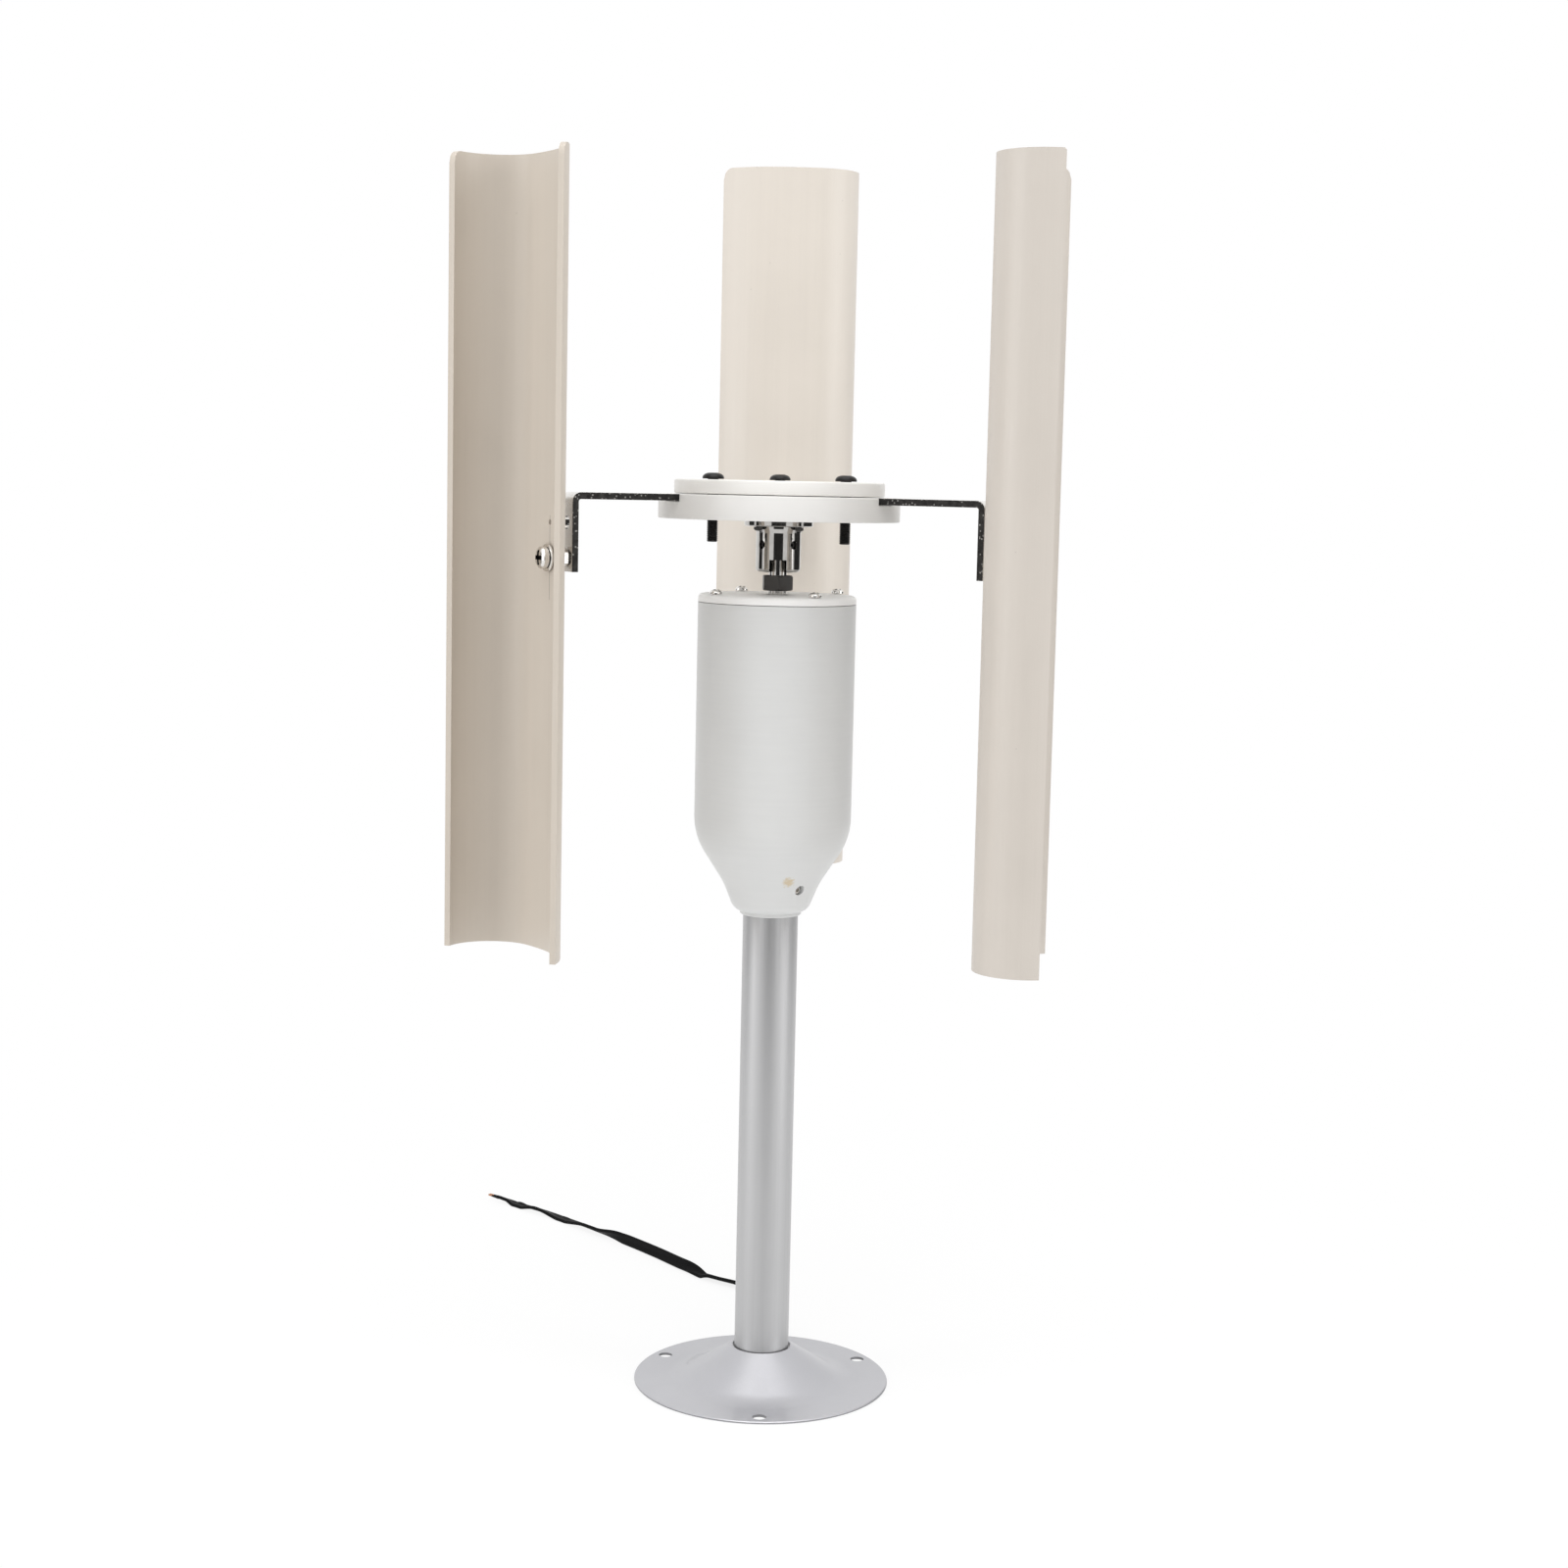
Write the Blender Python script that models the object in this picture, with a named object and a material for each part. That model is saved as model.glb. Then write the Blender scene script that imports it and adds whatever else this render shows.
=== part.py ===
"""Vertical axis turbine on a table stand: three J-section blades on a hub, over a housed generator.

Metres, +Z up. The origin is on the table, on the mast's axis. The three arms point 120 degrees apart,
one of them along +Y, and the output cable leaves the back of the mast.
"""

from math import cos, pi, radians, sin, sqrt, tan

import bmesh
import bpy
from mathutils import Matrix, Vector

MM = 0.001
GAP = 0.3 * MM

# Stand
FLANGE_RADIUS = 58.7 * MM
FLANGE_SHEET = 1.2 * MM
FLANGE_FLAT_RADIUS = 44.0 * MM
FLANGE_FOOT_BEND = 20.0 * MM
FLANGE_CONE_SLOPE = radians(32.5)
FLANGE_COLLAR_RADIUS = 13.3 * MM
FLANGE_HOLE_RADIUS = 3.15 * MM
FLANGE_HOLE_CIRCLE = 52.5 * MM
FLANGE_HOLE_ANGLES = (30, 150, 270)
MAST_RADIUS = 12.5 * MM
MAST_WALL = 1.5 * MM
MAST_BOTTOM = 6.3 * MM
MAST_TOP = 246.0 * MM

# Output cable, a twisted flat cord that lies on the table
CABLE_WIDTH = 6.0 * MM
CABLE_EXIT_HEIGHT = 30.0 * MM
CABLE_EXIT_Y = 16.4 * MM
CORE_LENGTH = 9.0 * MM
CABLE_ROUTE_MM = (
    (0, 16.4, 30), (0, 21, 29.6), (0.4, 33, 24), (1.5, 48, 12.5), (3, 66, 5), (4.5, 86, 3.05),
    (4, 108, 3.05), (-2.5, 126, 3.05), (-15, 136, 3.05), (-28, 146, 3.05), (-42, 161, 3.05),
    (-58, 182, 3.05), (-75, 203, 3.05), (-91, 221, 3.05), (-104, 236, 3.05), (-118, 251, 3.05),
    (-132, 264, 3.05), (-145, 276, 3.05), (-153, 283, 3.05),
)

# Generator housing
HOUSING_RADIUS = 35.5 * MM
HOUSING_WALL = 2.5 * MM
HOUSING_NECK_BOTTOM = 219.2 * MM
HOUSING_SHOULDER = 264.0 * MM
HOUSING_TOP = 360.2 * MM
SHOULDER_BEND = 31.0 * MM
COVER_BOTTOM = 360.5 * MM
COVER_TOP = 364.0 * MM
COVER_SCREW_CIRCLE = 31.8 * MM
COVER_SCREW_FIRST_ANGLE = 31.5
NECK_SCREW_ANGLE = 307.0
NECK_SCREW_HEIGHT = 232.7 * MM

# Generator
GENERATOR_RADIUS = 28.2 * MM
REAR_PLATE_BOTTOM = 284.0 * MM
FRONT_PLATE_BOTTOM = 350.0 * MM
PLATE_THICKNESS = 7.0 * MM
BEARING_RADIUS = 11.0 * MM
BEARING_RACE_OUTER = 9.4 * MM
BEARING_RACE_INNER = 5.6 * MM
BALL_RADIUS = 1.7 * MM
BALL_COUNT = 7
STATOR_BORE = 16.9 * MM
STATOR_RADIUS = 25.5 * MM
STATOR_BOTTOM = 305.0 * MM
STATOR_TOP = 335.0 * MM
SLOT_COUNT = 9

# Rotor
SHAFT_RADIUS = 4.0 * MM
SHAFT_BOTTOM = 280.0 * MM
SHAFT_TOP = 396.6 * MM
SHAFT_BORE = SHAFT_RADIUS + GAP
NUT_BOTTOM = 365.8 * MM
NUT_HEIGHT = 6.8 * MM
NUT_ACROSS_FLATS = 13.0 * MM
HUB_BOTTOM = 374.1 * MM
HUB_RADIUS = 10.0 * MM
HUB_FLANGE_RADIUS = 15.4 * MM
HUB_FLANGE_BOTTOM = 394.4 * MM
HUB_FLANGE_TOP = 396.9 * MM
HUB_SLOT_WIDTH = 7.6 * MM
HUB_SLOT_TOP = 379.6 * MM
HUB_GRUB_HEIGHT = 386.3 * MM
HUB_GRUB_ANGLES = (222, 314)
HUB_SCREW_CIRCLE = 12.9 * MM
LOWER_DISC_RADIUS = 54.0 * MM
LOWER_DISC_BOTTOM = 397.2 * MM
LOWER_DISC_TOP = 408.0 * MM
TOP_DISC_RADIUS = 47.0 * MM
TOP_DISC_BOTTOM = 408.3 * MM
TOP_DISC_TOP = 414.6 * MM
ARM_ANGLES = (90, 210, 330)
ARM_WIDTH = 12.0 * MM
ARM_THICKNESS = 3.0 * MM
ARM_BEND = 4.0 * MM
ARM_INNER_END = 15.3 * MM
ARM_LEG_FACE = 104.4 * MM
ARM_LEG_BOTTOM = 374.0 * MM
CLAMP_BOLT_CIRCLE = 33.7 * MM
CLAMP_BOLT_BOTTOM = 387.0 * MM
BLADE_LENGTH = 340.0 * MM
BLADE_WALL = 2.5 * MM
BLADE_CONTACT = 109.6 * MM
BLADE_NOSE_RADIUS = 20.0 * MM
BLADE_NOSE_TURN = radians(125)
BLADE_BACK_RADIUS = 100.0 * MM
BLADE_BACK_LENGTH = 17.5 * MM
BLADE_TAIL_RADIUS = 44.0 * MM
BLADE_TAIL_TURN = radians(43)
BLADE_SCREW_HEIGHT = 380.0 * MM
BRACKET_HOLE_STEP = 15.0 * MM
RAISED_BLADE = 90

LARGE_ROUND = 44
ROUND = 32
SMALL_ROUND = 24
SCREW_ROUND = 14


# ---------------------------------------------------------------- helpers

def clear_scene():
    for thing in list(bpy.data.objects):
        bpy.data.objects.remove(thing, do_unlink=True)


def material(name, colour, roughness, metallic=0.0):
    made = bpy.data.materials.new(name)
    made.use_nodes = True
    shader = made.node_tree.nodes["Principled BSDF"]
    shader.inputs["Base Color"].default_value = (*colour, 1.0)
    shader.inputs["Roughness"].default_value = roughness
    shader.inputs["Metallic"].default_value = metallic
    made.diffuse_color = (*colour, 1.0)
    return made


def arc(centre, radius, start, end, steps):
    """Points of an arc in a plane, with its angles in degrees."""
    turns = [radians(start + (end - start) * i / steps) for i in range(steps + 1)]
    return [(centre[0] + radius * cos(a), centre[1] + radius * sin(a)) for a in turns]


def polygon(radius, sides, turn=0.0):
    return [(radius * cos(turn + 2 * pi * i / sides), radius * sin(turn + 2 * pi * i / sides))
            for i in range(sides)]


def finish(name, bm, smooth=35.0):
    """Makes the node from its bmesh, shaded smooth except at its sharp edges."""
    bmesh.ops.recalc_face_normals(bm, faces=bm.faces)
    mesh = bpy.data.meshes.new(name)
    bm.to_mesh(mesh)
    bm.free()
    shade(mesh, smooth)
    made = bpy.data.objects.new(name, mesh)
    bpy.context.collection.objects.link(made)
    return made


def shade(mesh, smooth):
    for face in mesh.polygons:
        face.use_smooth = True
    mesh.set_sharp_from_angle(angle=radians(smooth))


def lathe(name, profile, steps=ROUND):
    """Turns an outline of (radius, height) points about the Z axis: a closed one, or one from axis to axis."""
    solid = profile[0][0] == 0
    outline = profile[1:-1] if solid else profile
    bm = bmesh.new()
    rings = [[bm.verts.new((x, y, height)) for x, y in polygon(radius, steps)] for radius, height in outline]
    above = rings[1:] if solid else rings[1:] + rings[:1]
    for ring, following in zip(rings, above):
        for i in range(steps):
            bm.faces.new([ring[i], ring[i - 1], following[i - 1], following[i]])
    if solid:
        bm.faces.new(rings[0])
        bm.faces.new(rings[-1][::-1])
    return finish(name, bm)


def prism(name, outline, bottom, top, smooth=35.0):
    """Extrudes a flat outline of (x, y) points from one height to another."""
    bm = bmesh.new()
    face = bm.faces.new([bm.verts.new((x, y, bottom)) for x, y in outline])
    raised = bmesh.ops.extrude_face_region(bm, geom=[face])
    moved = [v for v in raised["geom"] if isinstance(v, bmesh.types.BMVert)]
    bmesh.ops.translate(bm, verts=moved, vec=(0, 0, top - bottom))
    return finish(name, bm, smooth)


def rod(radius, bottom, top, steps=SCREW_ROUND):
    return prism("cutter", polygon(radius, steps, pi / steps), bottom, top)


def block(low, high):
    outline = [(low[0], low[1]), (high[0], low[1]), (high[0], high[1]), (low[0], high[1])]
    return prism("cutter", outline, low[2], high[2])


def move(thing, matrix):
    thing.data.transform(matrix)
    return thing


def outward(angle, height):
    """Takes a shape made along +Z at the origin to point outward at a compass angle and a height."""
    return Matrix.Translation((0, 0, height)) @ Matrix.Rotation(radians(angle), 4, "Z") @ Matrix.Rotation(
        pi / 2, 4, "Y")


def at_polar(angle, radius):
    return Matrix.Translation((radius * cos(radians(angle)), radius * sin(radians(angle)), 0))


def combine(target, others, operation):
    """Applies exact Booleans to the target and drops the tools."""
    for other in others:
        step = target.modifiers.new("boolean", "BOOLEAN")
        step.solver = "EXACT"
        step.operation = operation
        step.object = other
        bpy.context.view_layer.update()
        shape = target.evaluated_get(bpy.context.evaluated_depsgraph_get())
        mesh = bpy.data.meshes.new_from_object(shape)
        target.modifiers.clear()
        target.data = mesh
        bpy.data.objects.remove(other, do_unlink=True)
    shade(target.data, 35.0)
    return target


def cut(target, *tools):
    return combine(target, tools, "DIFFERENCE")


def join(target, *others):
    return combine(target, others, "UNION")


def hang_on(parent, things):
    """Parents the pieces to an empty that stands on their joint's axis."""
    for thing in things:
        thing.parent = parent
        thing.matrix_parent_inverse = parent.matrix_world.inverted()


def axis_empty(name, height):
    made = bpy.data.objects.new(name, None)
    made.empty_display_size = 0.02
    made.location = (0, 0, height)
    bpy.context.collection.objects.link(made)
    bpy.context.view_layer.update()
    return made


def paint(thing, finish_material):
    """Gives the node its own copy of a finish."""
    own = finish_material.copy()
    own.name = thing.name
    thing.data.materials.clear()
    thing.data.materials.append(own)


# ---------------------------------------------------------------- screws and nuts

def screw(name, shank, length, head_radius, head_height, socket="hex", dome=0.35):
    """A screw along +Z: its shank below z = 0 and its round head above, with a hex or cross recess."""
    rim = head_height * (1 - dome)
    top = head_radius * 0.55
    profile = [(0, -length), (shank, -length), (shank, 0), (head_radius, 0), (head_radius, rim),
               (head_radius * 0.86, rim + (head_height - rim) * 0.65), (top, head_height), (0, head_height)]
    made = lathe(name, profile, SCREW_ROUND)
    depth = head_height * 0.55
    if socket == "hex":
        return cut(made, prism("cutter", polygon(head_radius * 0.42, 6), head_height - depth, head_height * 2))
    arm, half = head_radius * 0.5, head_radius * 0.11
    bars = [block((-arm, -half, head_height - depth), (arm, half, head_height * 2)),
            block((-half, -arm, head_height - depth), (half, arm, head_height * 2))]
    return cut(made, *bars)


def grub_screw(name, radius, length):
    """A headless screw along +Z with its hex socket at the outer end."""
    made = prism(name, polygon(radius, SCREW_ROUND), 0, length)
    return cut(made, prism("cutter", polygon(radius * 0.55, 6), length * 0.55, length * 2))


def hex_nut(name, across_flats, bore, bottom, top, turn=0.0):
    """A nut with its corners turned off at both ends."""
    corner = across_flats / sqrt(3)
    made = prism(name, polygon(corner, 6, turn), bottom, top)
    cone = corner * 1.02
    inner = across_flats / 2 * 0.96
    chamfer = (cone - inner) * tan(radians(30))
    envelope = lathe("cutter", [(0, bottom), (inner, bottom), (cone, bottom + chamfer), (cone, top - chamfer),
                                (inner, top), (0, top)], 18)
    combine(made, [envelope], "INTERSECT")
    return cut(made, rod(bore, bottom - 1 * MM, top + 1 * MM))


# ---------------------------------------------------------------- stand

def flange_side(offset):
    """One side of the pressed sheet, from its rim in to its collar."""
    centre = (FLANGE_FLAT_RADIUS, FLANGE_SHEET + FLANGE_FOOT_BEND)
    bend = arc(centre, FLANGE_FOOT_BEND + offset, -90, -90 - FLANGE_CONE_SLOPE * 180 / pi, 4)
    radius, height = bend[-1]
    collar = height + (radius - FLANGE_COLLAR_RADIUS) * tan(FLANGE_CONE_SLOPE)
    return [*bend, (FLANGE_COLLAR_RADIUS, collar)]


def base_flange():
    edge = FLANGE_SHEET / 3
    rim = [(FLANGE_RADIUS - edge, 0), (FLANGE_RADIUS, edge), (FLANGE_RADIUS, FLANGE_SHEET - edge),
           (FLANGE_RADIUS - edge, FLANGE_SHEET)]
    made = lathe("base_flange", [*rim, *flange_side(0), *reversed(flange_side(FLANGE_SHEET))], LARGE_ROUND)
    holes = [move(rod(FLANGE_HOLE_RADIUS, -2 * MM, 4 * MM, 20), at_polar(a, FLANGE_HOLE_CIRCLE))
             for a in FLANGE_HOLE_ANGLES]
    return cut(made, *holes)


def mast_tube():
    bore = MAST_RADIUS - MAST_WALL
    made = lathe("mast_tube", [(bore, MAST_BOTTOM), (MAST_RADIUS, MAST_BOTTOM), (MAST_RADIUS, MAST_TOP),
                               (bore, MAST_TOP)], LARGE_ROUND)
    hole = move(rod(4.6 * MM, 5 * MM, 20 * MM, 20), outward(90, CABLE_EXIT_HEIGHT))
    return cut(made, hole)


def foot_plate():
    outer, bore = 27 * MM, 3.3 * MM
    return lathe("foot_plate", [(bore, 4 * MM), (outer, 4 * MM), (outer, 6 * MM), (bore, 6 * MM)], SMALL_ROUND)


def foot_plug():
    outer = MAST_RADIUS - MAST_WALL - GAP
    return lathe("foot_plug", [(0, 20 * MM), (3.3 * MM, 20 * MM), (3.3 * MM, MAST_BOTTOM), (outer, MAST_BOTTOM),
                               (outer, 22 * MM), (0, 22 * MM)], SMALL_ROUND)


def foot_bolt():
    head = prism("foot_bolt", polygon(5.7 * MM, 6), 0.5 * MM, 3.7 * MM)
    return join(head, rod(3 * MM, 3 * MM, 19 * MM))


def cable_grommet():
    """A rubber bush with a collar on each side of the mast's wall, along +Y."""
    hole, neck, collar = 3.3 * MM, 4.3 * MM, 6 * MM
    profile = [(hole, 8.4 * MM), (5.4 * MM, 8.4 * MM), (5.4 * MM, 9.0 * MM), (neck, 9.6 * MM),
               (neck, 12.8 * MM), (collar, 12.8 * MM), (collar, 14.6 * MM), (collar - 1 * MM, 16.1 * MM),
               (hole, 16.1 * MM)]
    return move(lathe("cable_grommet", profile, 20), outward(90, CABLE_EXIT_HEIGHT))


def smooth_route(points, count):
    """Evenly counted points on the smooth curve through the route's own points."""
    points = [Vector(p) for p in points]
    ends = [2 * points[0] - points[1], *points, 2 * points[-1] - points[-2]]
    spans = len(points) - 1
    route = []
    for step in range(count):
        place = min(step * spans / (count - 1), spans - 1e-9)
        k, t = int(place), place - int(place)
        before, start, end, after = ends[k:k + 4]
        route.append(0.5 * (2 * start + (end - before) * t + (2 * before - 5 * start + 4 * end - after) * t ** 2
                            + (3 * start - before - 3 * end + after) * t ** 3))
    return route


def cord(name, route, radius, sides=3):
    """A round cord along a line of points, with closed ends."""
    line = bpy.data.curves.new(name, "CURVE")
    line.dimensions = "3D"
    line.bevel_depth = radius
    line.bevel_resolution = sides
    line.use_fill_caps = True
    spline = line.splines.new("POLY")
    spline.points.add(len(route) - 1)
    for point, place in zip(spline.points, route):
        point.co = (*place, 1.0)
    made = bpy.data.objects.new(name, line)
    bpy.context.collection.objects.link(made)
    return made


def cable_pieces():
    route = smooth_route([[v * MM for v in p] for p in CABLE_ROUTE_MM], 34)
    end = route[-1]
    along = (route[-1] - route[-3]).normalized()
    side = along.cross(Vector((0, 0, 1)))
    pieces = [cord("output_cable", route, CABLE_WIDTH / 2)]
    for number, offset in ((1, 1.2 * MM), (2, -1.2 * MM)):
        start = end + along * GAP + side * offset
        pieces.append(cord(f"cable_core_{number}", [start, start + along * CORE_LENGTH / 2,
                                                   start + along * CORE_LENGTH], 0.8 * MM, 2))
    inside = [(0, 8.2, 30), (0, 5, 31.5), (0, 2.2, 37), (0, 1.2, 46), (0, 1, 70), (0, 1, 120), (0, 1, 180),
              (0, 1, 240), (1, 1, 252), (6, 3, 263), (12, 5, 272), (14, 6, 281.5)]
    pieces.append(cord("mast_cable", smooth_route([[v * MM for v in p] for p in inside], 32), 2.2 * MM, 2))
    return pieces


# ---------------------------------------------------------------- housing

def shoulder_line(offset, steps):
    """The housing's shoulder from its neck up to its straight side, moved inward by an offset."""
    centre = (HOUSING_RADIUS - SHOULDER_BEND, HOUSING_SHOULDER)
    shoulder = arc(centre, SHOULDER_BEND - offset, -33, 0, steps)
    hollow = arc((57.5 * MM, 215.2 * MM), 40 * MM + offset, 158, 147, steps // 3)
    return [*hollow, *shoulder]


def housing_shell():
    bore, sleeve = MAST_RADIUS + GAP, 15.3 * MM
    lip = arc((12.4 * MM, 226.6 * MM), 6.1 * MM, -72, -22, 3)
    outside = [(bore, HOUSING_NECK_BOTTOM), (13.9 * MM, HOUSING_NECK_BOTTOM), (13.9 * MM, 220.8 * MM), *lip,
               *shoulder_line(0, 6), (HOUSING_RADIUS, HOUSING_TOP)]
    rim, side, ledge = 28.6 * MM, HOUSING_RADIUS - HOUSING_WALL, 24.5 * MM
    inside = [(rim, HOUSING_TOP), (rim, 345 * MM), (side, 342 * MM), (side, 292 * MM), (rim, 290 * MM),
              (rim, 283.7 * MM), (ledge, 283.7 * MM), (ledge, 281 * MM), (side, 276 * MM),
              *reversed(shoulder_line(HOUSING_WALL, 3)), (sleeve, 229 * MM), (sleeve, MAST_TOP + 1 * MM),
              (bore, MAST_TOP + 1 * MM)]
    made = lathe("housing_shell", [*outside, *inside], LARGE_ROUND)
    holes = [move(rod(1.8 * MM, 349 * MM, 362 * MM, 12), at_polar(a, COVER_SCREW_CIRCLE))
             for a in cover_screw_angles()]
    holes.append(move(rod(2.3 * MM, 10 * MM, 30 * MM, 20), outward(NECK_SCREW_ANGLE, NECK_SCREW_HEIGHT)))
    return cut(made, *holes)


def cover_screw_angles():
    return [COVER_SCREW_FIRST_ANGLE + 90 * i for i in range(4)]


def housing_cover():
    hole, lip = 5.2 * MM, 24 * MM
    rounding = 1.4 * MM
    edge = arc((HOUSING_RADIUS - rounding, COVER_TOP - rounding), rounding, 0, 90, 2)
    profile = [(hole, COVER_BOTTOM), (lip, COVER_BOTTOM), (lip, 357.3 * MM), (28.2 * MM, 357.3 * MM),
               (28.2 * MM, COVER_BOTTOM), (HOUSING_RADIUS, COVER_BOTTOM), *edge, (hole, COVER_TOP)]
    made = lathe("housing_cover", profile, LARGE_ROUND)
    holes = [move(rod(1.8 * MM, COVER_BOTTOM - 2 * MM, COVER_TOP + 2 * MM, 12), at_polar(a, COVER_SCREW_CIRCLE))
             for a in cover_screw_angles()]
    return cut(made, *holes)


def cover_screws():
    made = []
    for number, angle in enumerate(cover_screw_angles(), 1):
        one = screw(f"cover_screw_{number}", 1.5 * MM, 12 * MM, 2.8 * MM, 2.1 * MM, "cross")
        move(one, at_polar(angle, COVER_SCREW_CIRCLE) @ Matrix.Translation((0, 0, COVER_TOP + GAP))
             @ Matrix.Rotation(radians(angle * 2), 4, "Z"))
        made.append(one)
    return made


def neck_set_screw():
    made = grub_screw("neck_set_screw", 1.95 * MM, 6.6 * MM)
    return move(made, outward(NECK_SCREW_ANGLE, NECK_SCREW_HEIGHT) @ Matrix.Translation((0, 0, 12.9 * MM)))


# ---------------------------------------------------------------- generator

def end_plate(name, bottom):
    bore = BEARING_RADIUS + GAP
    top = bottom + PLATE_THICKNESS
    return lathe(name, [(bore, bottom), (GENERATOR_RADIUS, bottom), (GENERATOR_RADIUS, top), (bore, top)])


def generator_can():
    inner = STATOR_RADIUS + GAP
    bottom, top = REAR_PLATE_BOTTOM + PLATE_THICKNESS + GAP, FRONT_PLATE_BOTTOM - GAP
    return lathe("generator_can", [(inner, bottom), (GENERATOR_RADIUS, bottom), (GENERATOR_RADIUS, top),
                                   (inner, top)])


def slot_turns():
    return [2 * pi * (i + 0.5) / SLOT_COUNT for i in range(SLOT_COUNT)]


def stator_core():
    """Laminated ring whose teeth stand inward between open slots."""
    outline = polygon(STATOR_RADIUS, 45)
    made = prism("stator_core", outline, STATOR_BOTTOM, STATOR_TOP)
    cut(made, rod(STATOR_BORE, STATOR_BOTTOM - 1 * MM, STATOR_TOP + 1 * MM, 45))
    slots = [move(block((STATOR_BORE - 2 * MM, -3.2 * MM, STATOR_BOTTOM - 1 * MM),
                        (22.6 * MM, 3.2 * MM, STATOR_TOP + 1 * MM)), Matrix.Rotation(turn, 4, "Z"))
             for turn in slot_turns()]
    return cut(made, *slots)


def stator_windings():
    """Two rings of end turns, joined by the coil sides that lie in the slots."""
    lower, upper = STATOR_BOTTOM - GAP, STATOR_TOP + GAP
    inner, outer, reach = 17.6 * MM, 24.4 * MM, 7 * MM
    made = lathe("stator_windings", [(inner, lower - reach), (outer, lower - reach), (outer, lower),
                                     (inner, lower)])
    bars = [move(block((18 * MM, -2.9 * MM, lower - 1 * MM), (22.3 * MM, 2.9 * MM, upper + 1 * MM)),
                 Matrix.Rotation(turn, 4, "Z")) for turn in slot_turns()]
    ring = lathe("cutter", [(inner, upper), (outer, upper), (outer, upper + reach), (inner, upper + reach)])
    return join(made, *bars, ring)


def bearing(place, bottom):
    """Outer ring, inner ring and the ball set of one ball bearing."""
    top = bottom + PLATE_THICKNESS
    middle = (bottom + top) / 2
    pitch = (BEARING_RACE_OUTER + BEARING_RACE_INNER) / 2
    outer = lathe(f"{place}_bearing_outer_ring", [(BEARING_RACE_OUTER, bottom), (BEARING_RADIUS, bottom),
                                                  (BEARING_RADIUS, top), (BEARING_RACE_OUTER, top)])
    inner = lathe(f"{place}_bearing_inner_ring", [(SHAFT_BORE, bottom), (BEARING_RACE_INNER, bottom),
                                                  (BEARING_RACE_INNER, top), (SHAFT_BORE, top)], SMALL_ROUND)
    cage = lathe(f"{place}_bearing_balls", [(pitch - 0.9 * MM, middle - 0.7 * MM),
                                            (pitch + 0.9 * MM, middle - 0.7 * MM),
                                            (pitch + 0.9 * MM, middle + 0.7 * MM),
                                            (pitch - 0.9 * MM, middle + 0.7 * MM)], SMALL_ROUND)
    balls = []
    for number in range(BALL_COUNT):
        bm = bmesh.new()
        bmesh.ops.create_icosphere(bm, subdivisions=2, radius=BALL_RADIUS)
        bmesh.ops.translate(bm, verts=bm.verts, vec=(pitch, 0, middle))
        bmesh.ops.rotate(bm, verts=bm.verts, cent=(0, 0, 0),
                         matrix=Matrix.Rotation(2 * pi * number / BALL_COUNT, 3, "Z"))
        balls.append(finish("cutter", bm))
    return outer, inner, join(cage, *balls)


def rotor_shaft():
    groove = 3.3 * MM
    profile = [(0, SHAFT_BOTTOM), (3.4 * MM, SHAFT_BOTTOM), (SHAFT_RADIUS, SHAFT_BOTTOM + 0.6 * MM),
               (SHAFT_RADIUS, 282.2 * MM), (groove, 282.2 * MM), (groove, 283.7 * MM),
               (SHAFT_RADIUS, 283.7 * MM), (SHAFT_RADIUS, SHAFT_TOP - 0.6 * MM), (3.4 * MM, SHAFT_TOP),
               (0, SHAFT_TOP)]
    return lathe("rotor_shaft", profile, SMALL_ROUND)


def shaft_circlip():
    made = lathe("shaft_circlip", [(3.6 * MM, 282.5 * MM), (5.6 * MM, 282.5 * MM), (5.6 * MM, 283.4 * MM),
                                   (3.6 * MM, 283.4 * MM)], 24)
    return cut(made, block((0, -1.6 * MM, 280 * MM), (8 * MM, 1.6 * MM, 286 * MM)))


def rotor_core():
    bottom, top = STATOR_BOTTOM - 1 * MM, STATOR_TOP + 1 * MM
    outer = 11.7 * MM
    return lathe("rotor_core", [(SHAFT_BORE, bottom), (outer, bottom), (outer, top), (SHAFT_BORE, top)])


def magnet_ring():
    inner, outer = 12.0 * MM, 16.3 * MM
    return lathe("magnet_ring", [(inner, STATOR_BOTTOM), (outer, STATOR_BOTTOM), (outer, STATOR_TOP),
                                 (inner, STATOR_TOP)])


# ---------------------------------------------------------------- hub

def lock_nut():
    return hex_nut("lock_nut", NUT_ACROSS_FLATS, SHAFT_BORE, NUT_BOTTOM, NUT_BOTTOM + NUT_HEIGHT, radians(35))


def coupling_hub():
    rounding, neck = 1.6 * MM, 10.7 * MM
    corner = arc((HUB_RADIUS - rounding, HUB_BOTTOM + rounding), rounding, -90, 0, 2)
    flange_edge = HUB_FLANGE_RADIUS - 0.4 * MM
    profile = [(SHAFT_BORE, HUB_BOTTOM), *corner, (HUB_RADIUS, 391.6 * MM), (neck, 393 * MM),
               (neck, HUB_FLANGE_BOTTOM), (flange_edge, HUB_FLANGE_BOTTOM),
               (HUB_FLANGE_RADIUS, HUB_FLANGE_BOTTOM + 0.4 * MM), (HUB_FLANGE_RADIUS, HUB_FLANGE_TOP),
               (SHAFT_BORE, HUB_FLANGE_TOP)]
    made = lathe("coupling_hub", profile, ROUND)
    half = HUB_SLOT_WIDTH / 2
    slot = block((-half, -20 * MM, HUB_BOTTOM - 2 * MM), (half, 20 * MM, HUB_SLOT_TOP))
    holes = [move(rod(1.95 * MM, 2 * MM, 14 * MM), outward(a, HUB_GRUB_HEIGHT)) for a in HUB_GRUB_ANGLES]
    holes += [move(rod(1.3 * MM, 392 * MM, 399 * MM, 12), at_polar(a, HUB_SCREW_CIRCLE))
              for a in flange_screw_angles()]
    return cut(made, slot, *holes)


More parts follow.
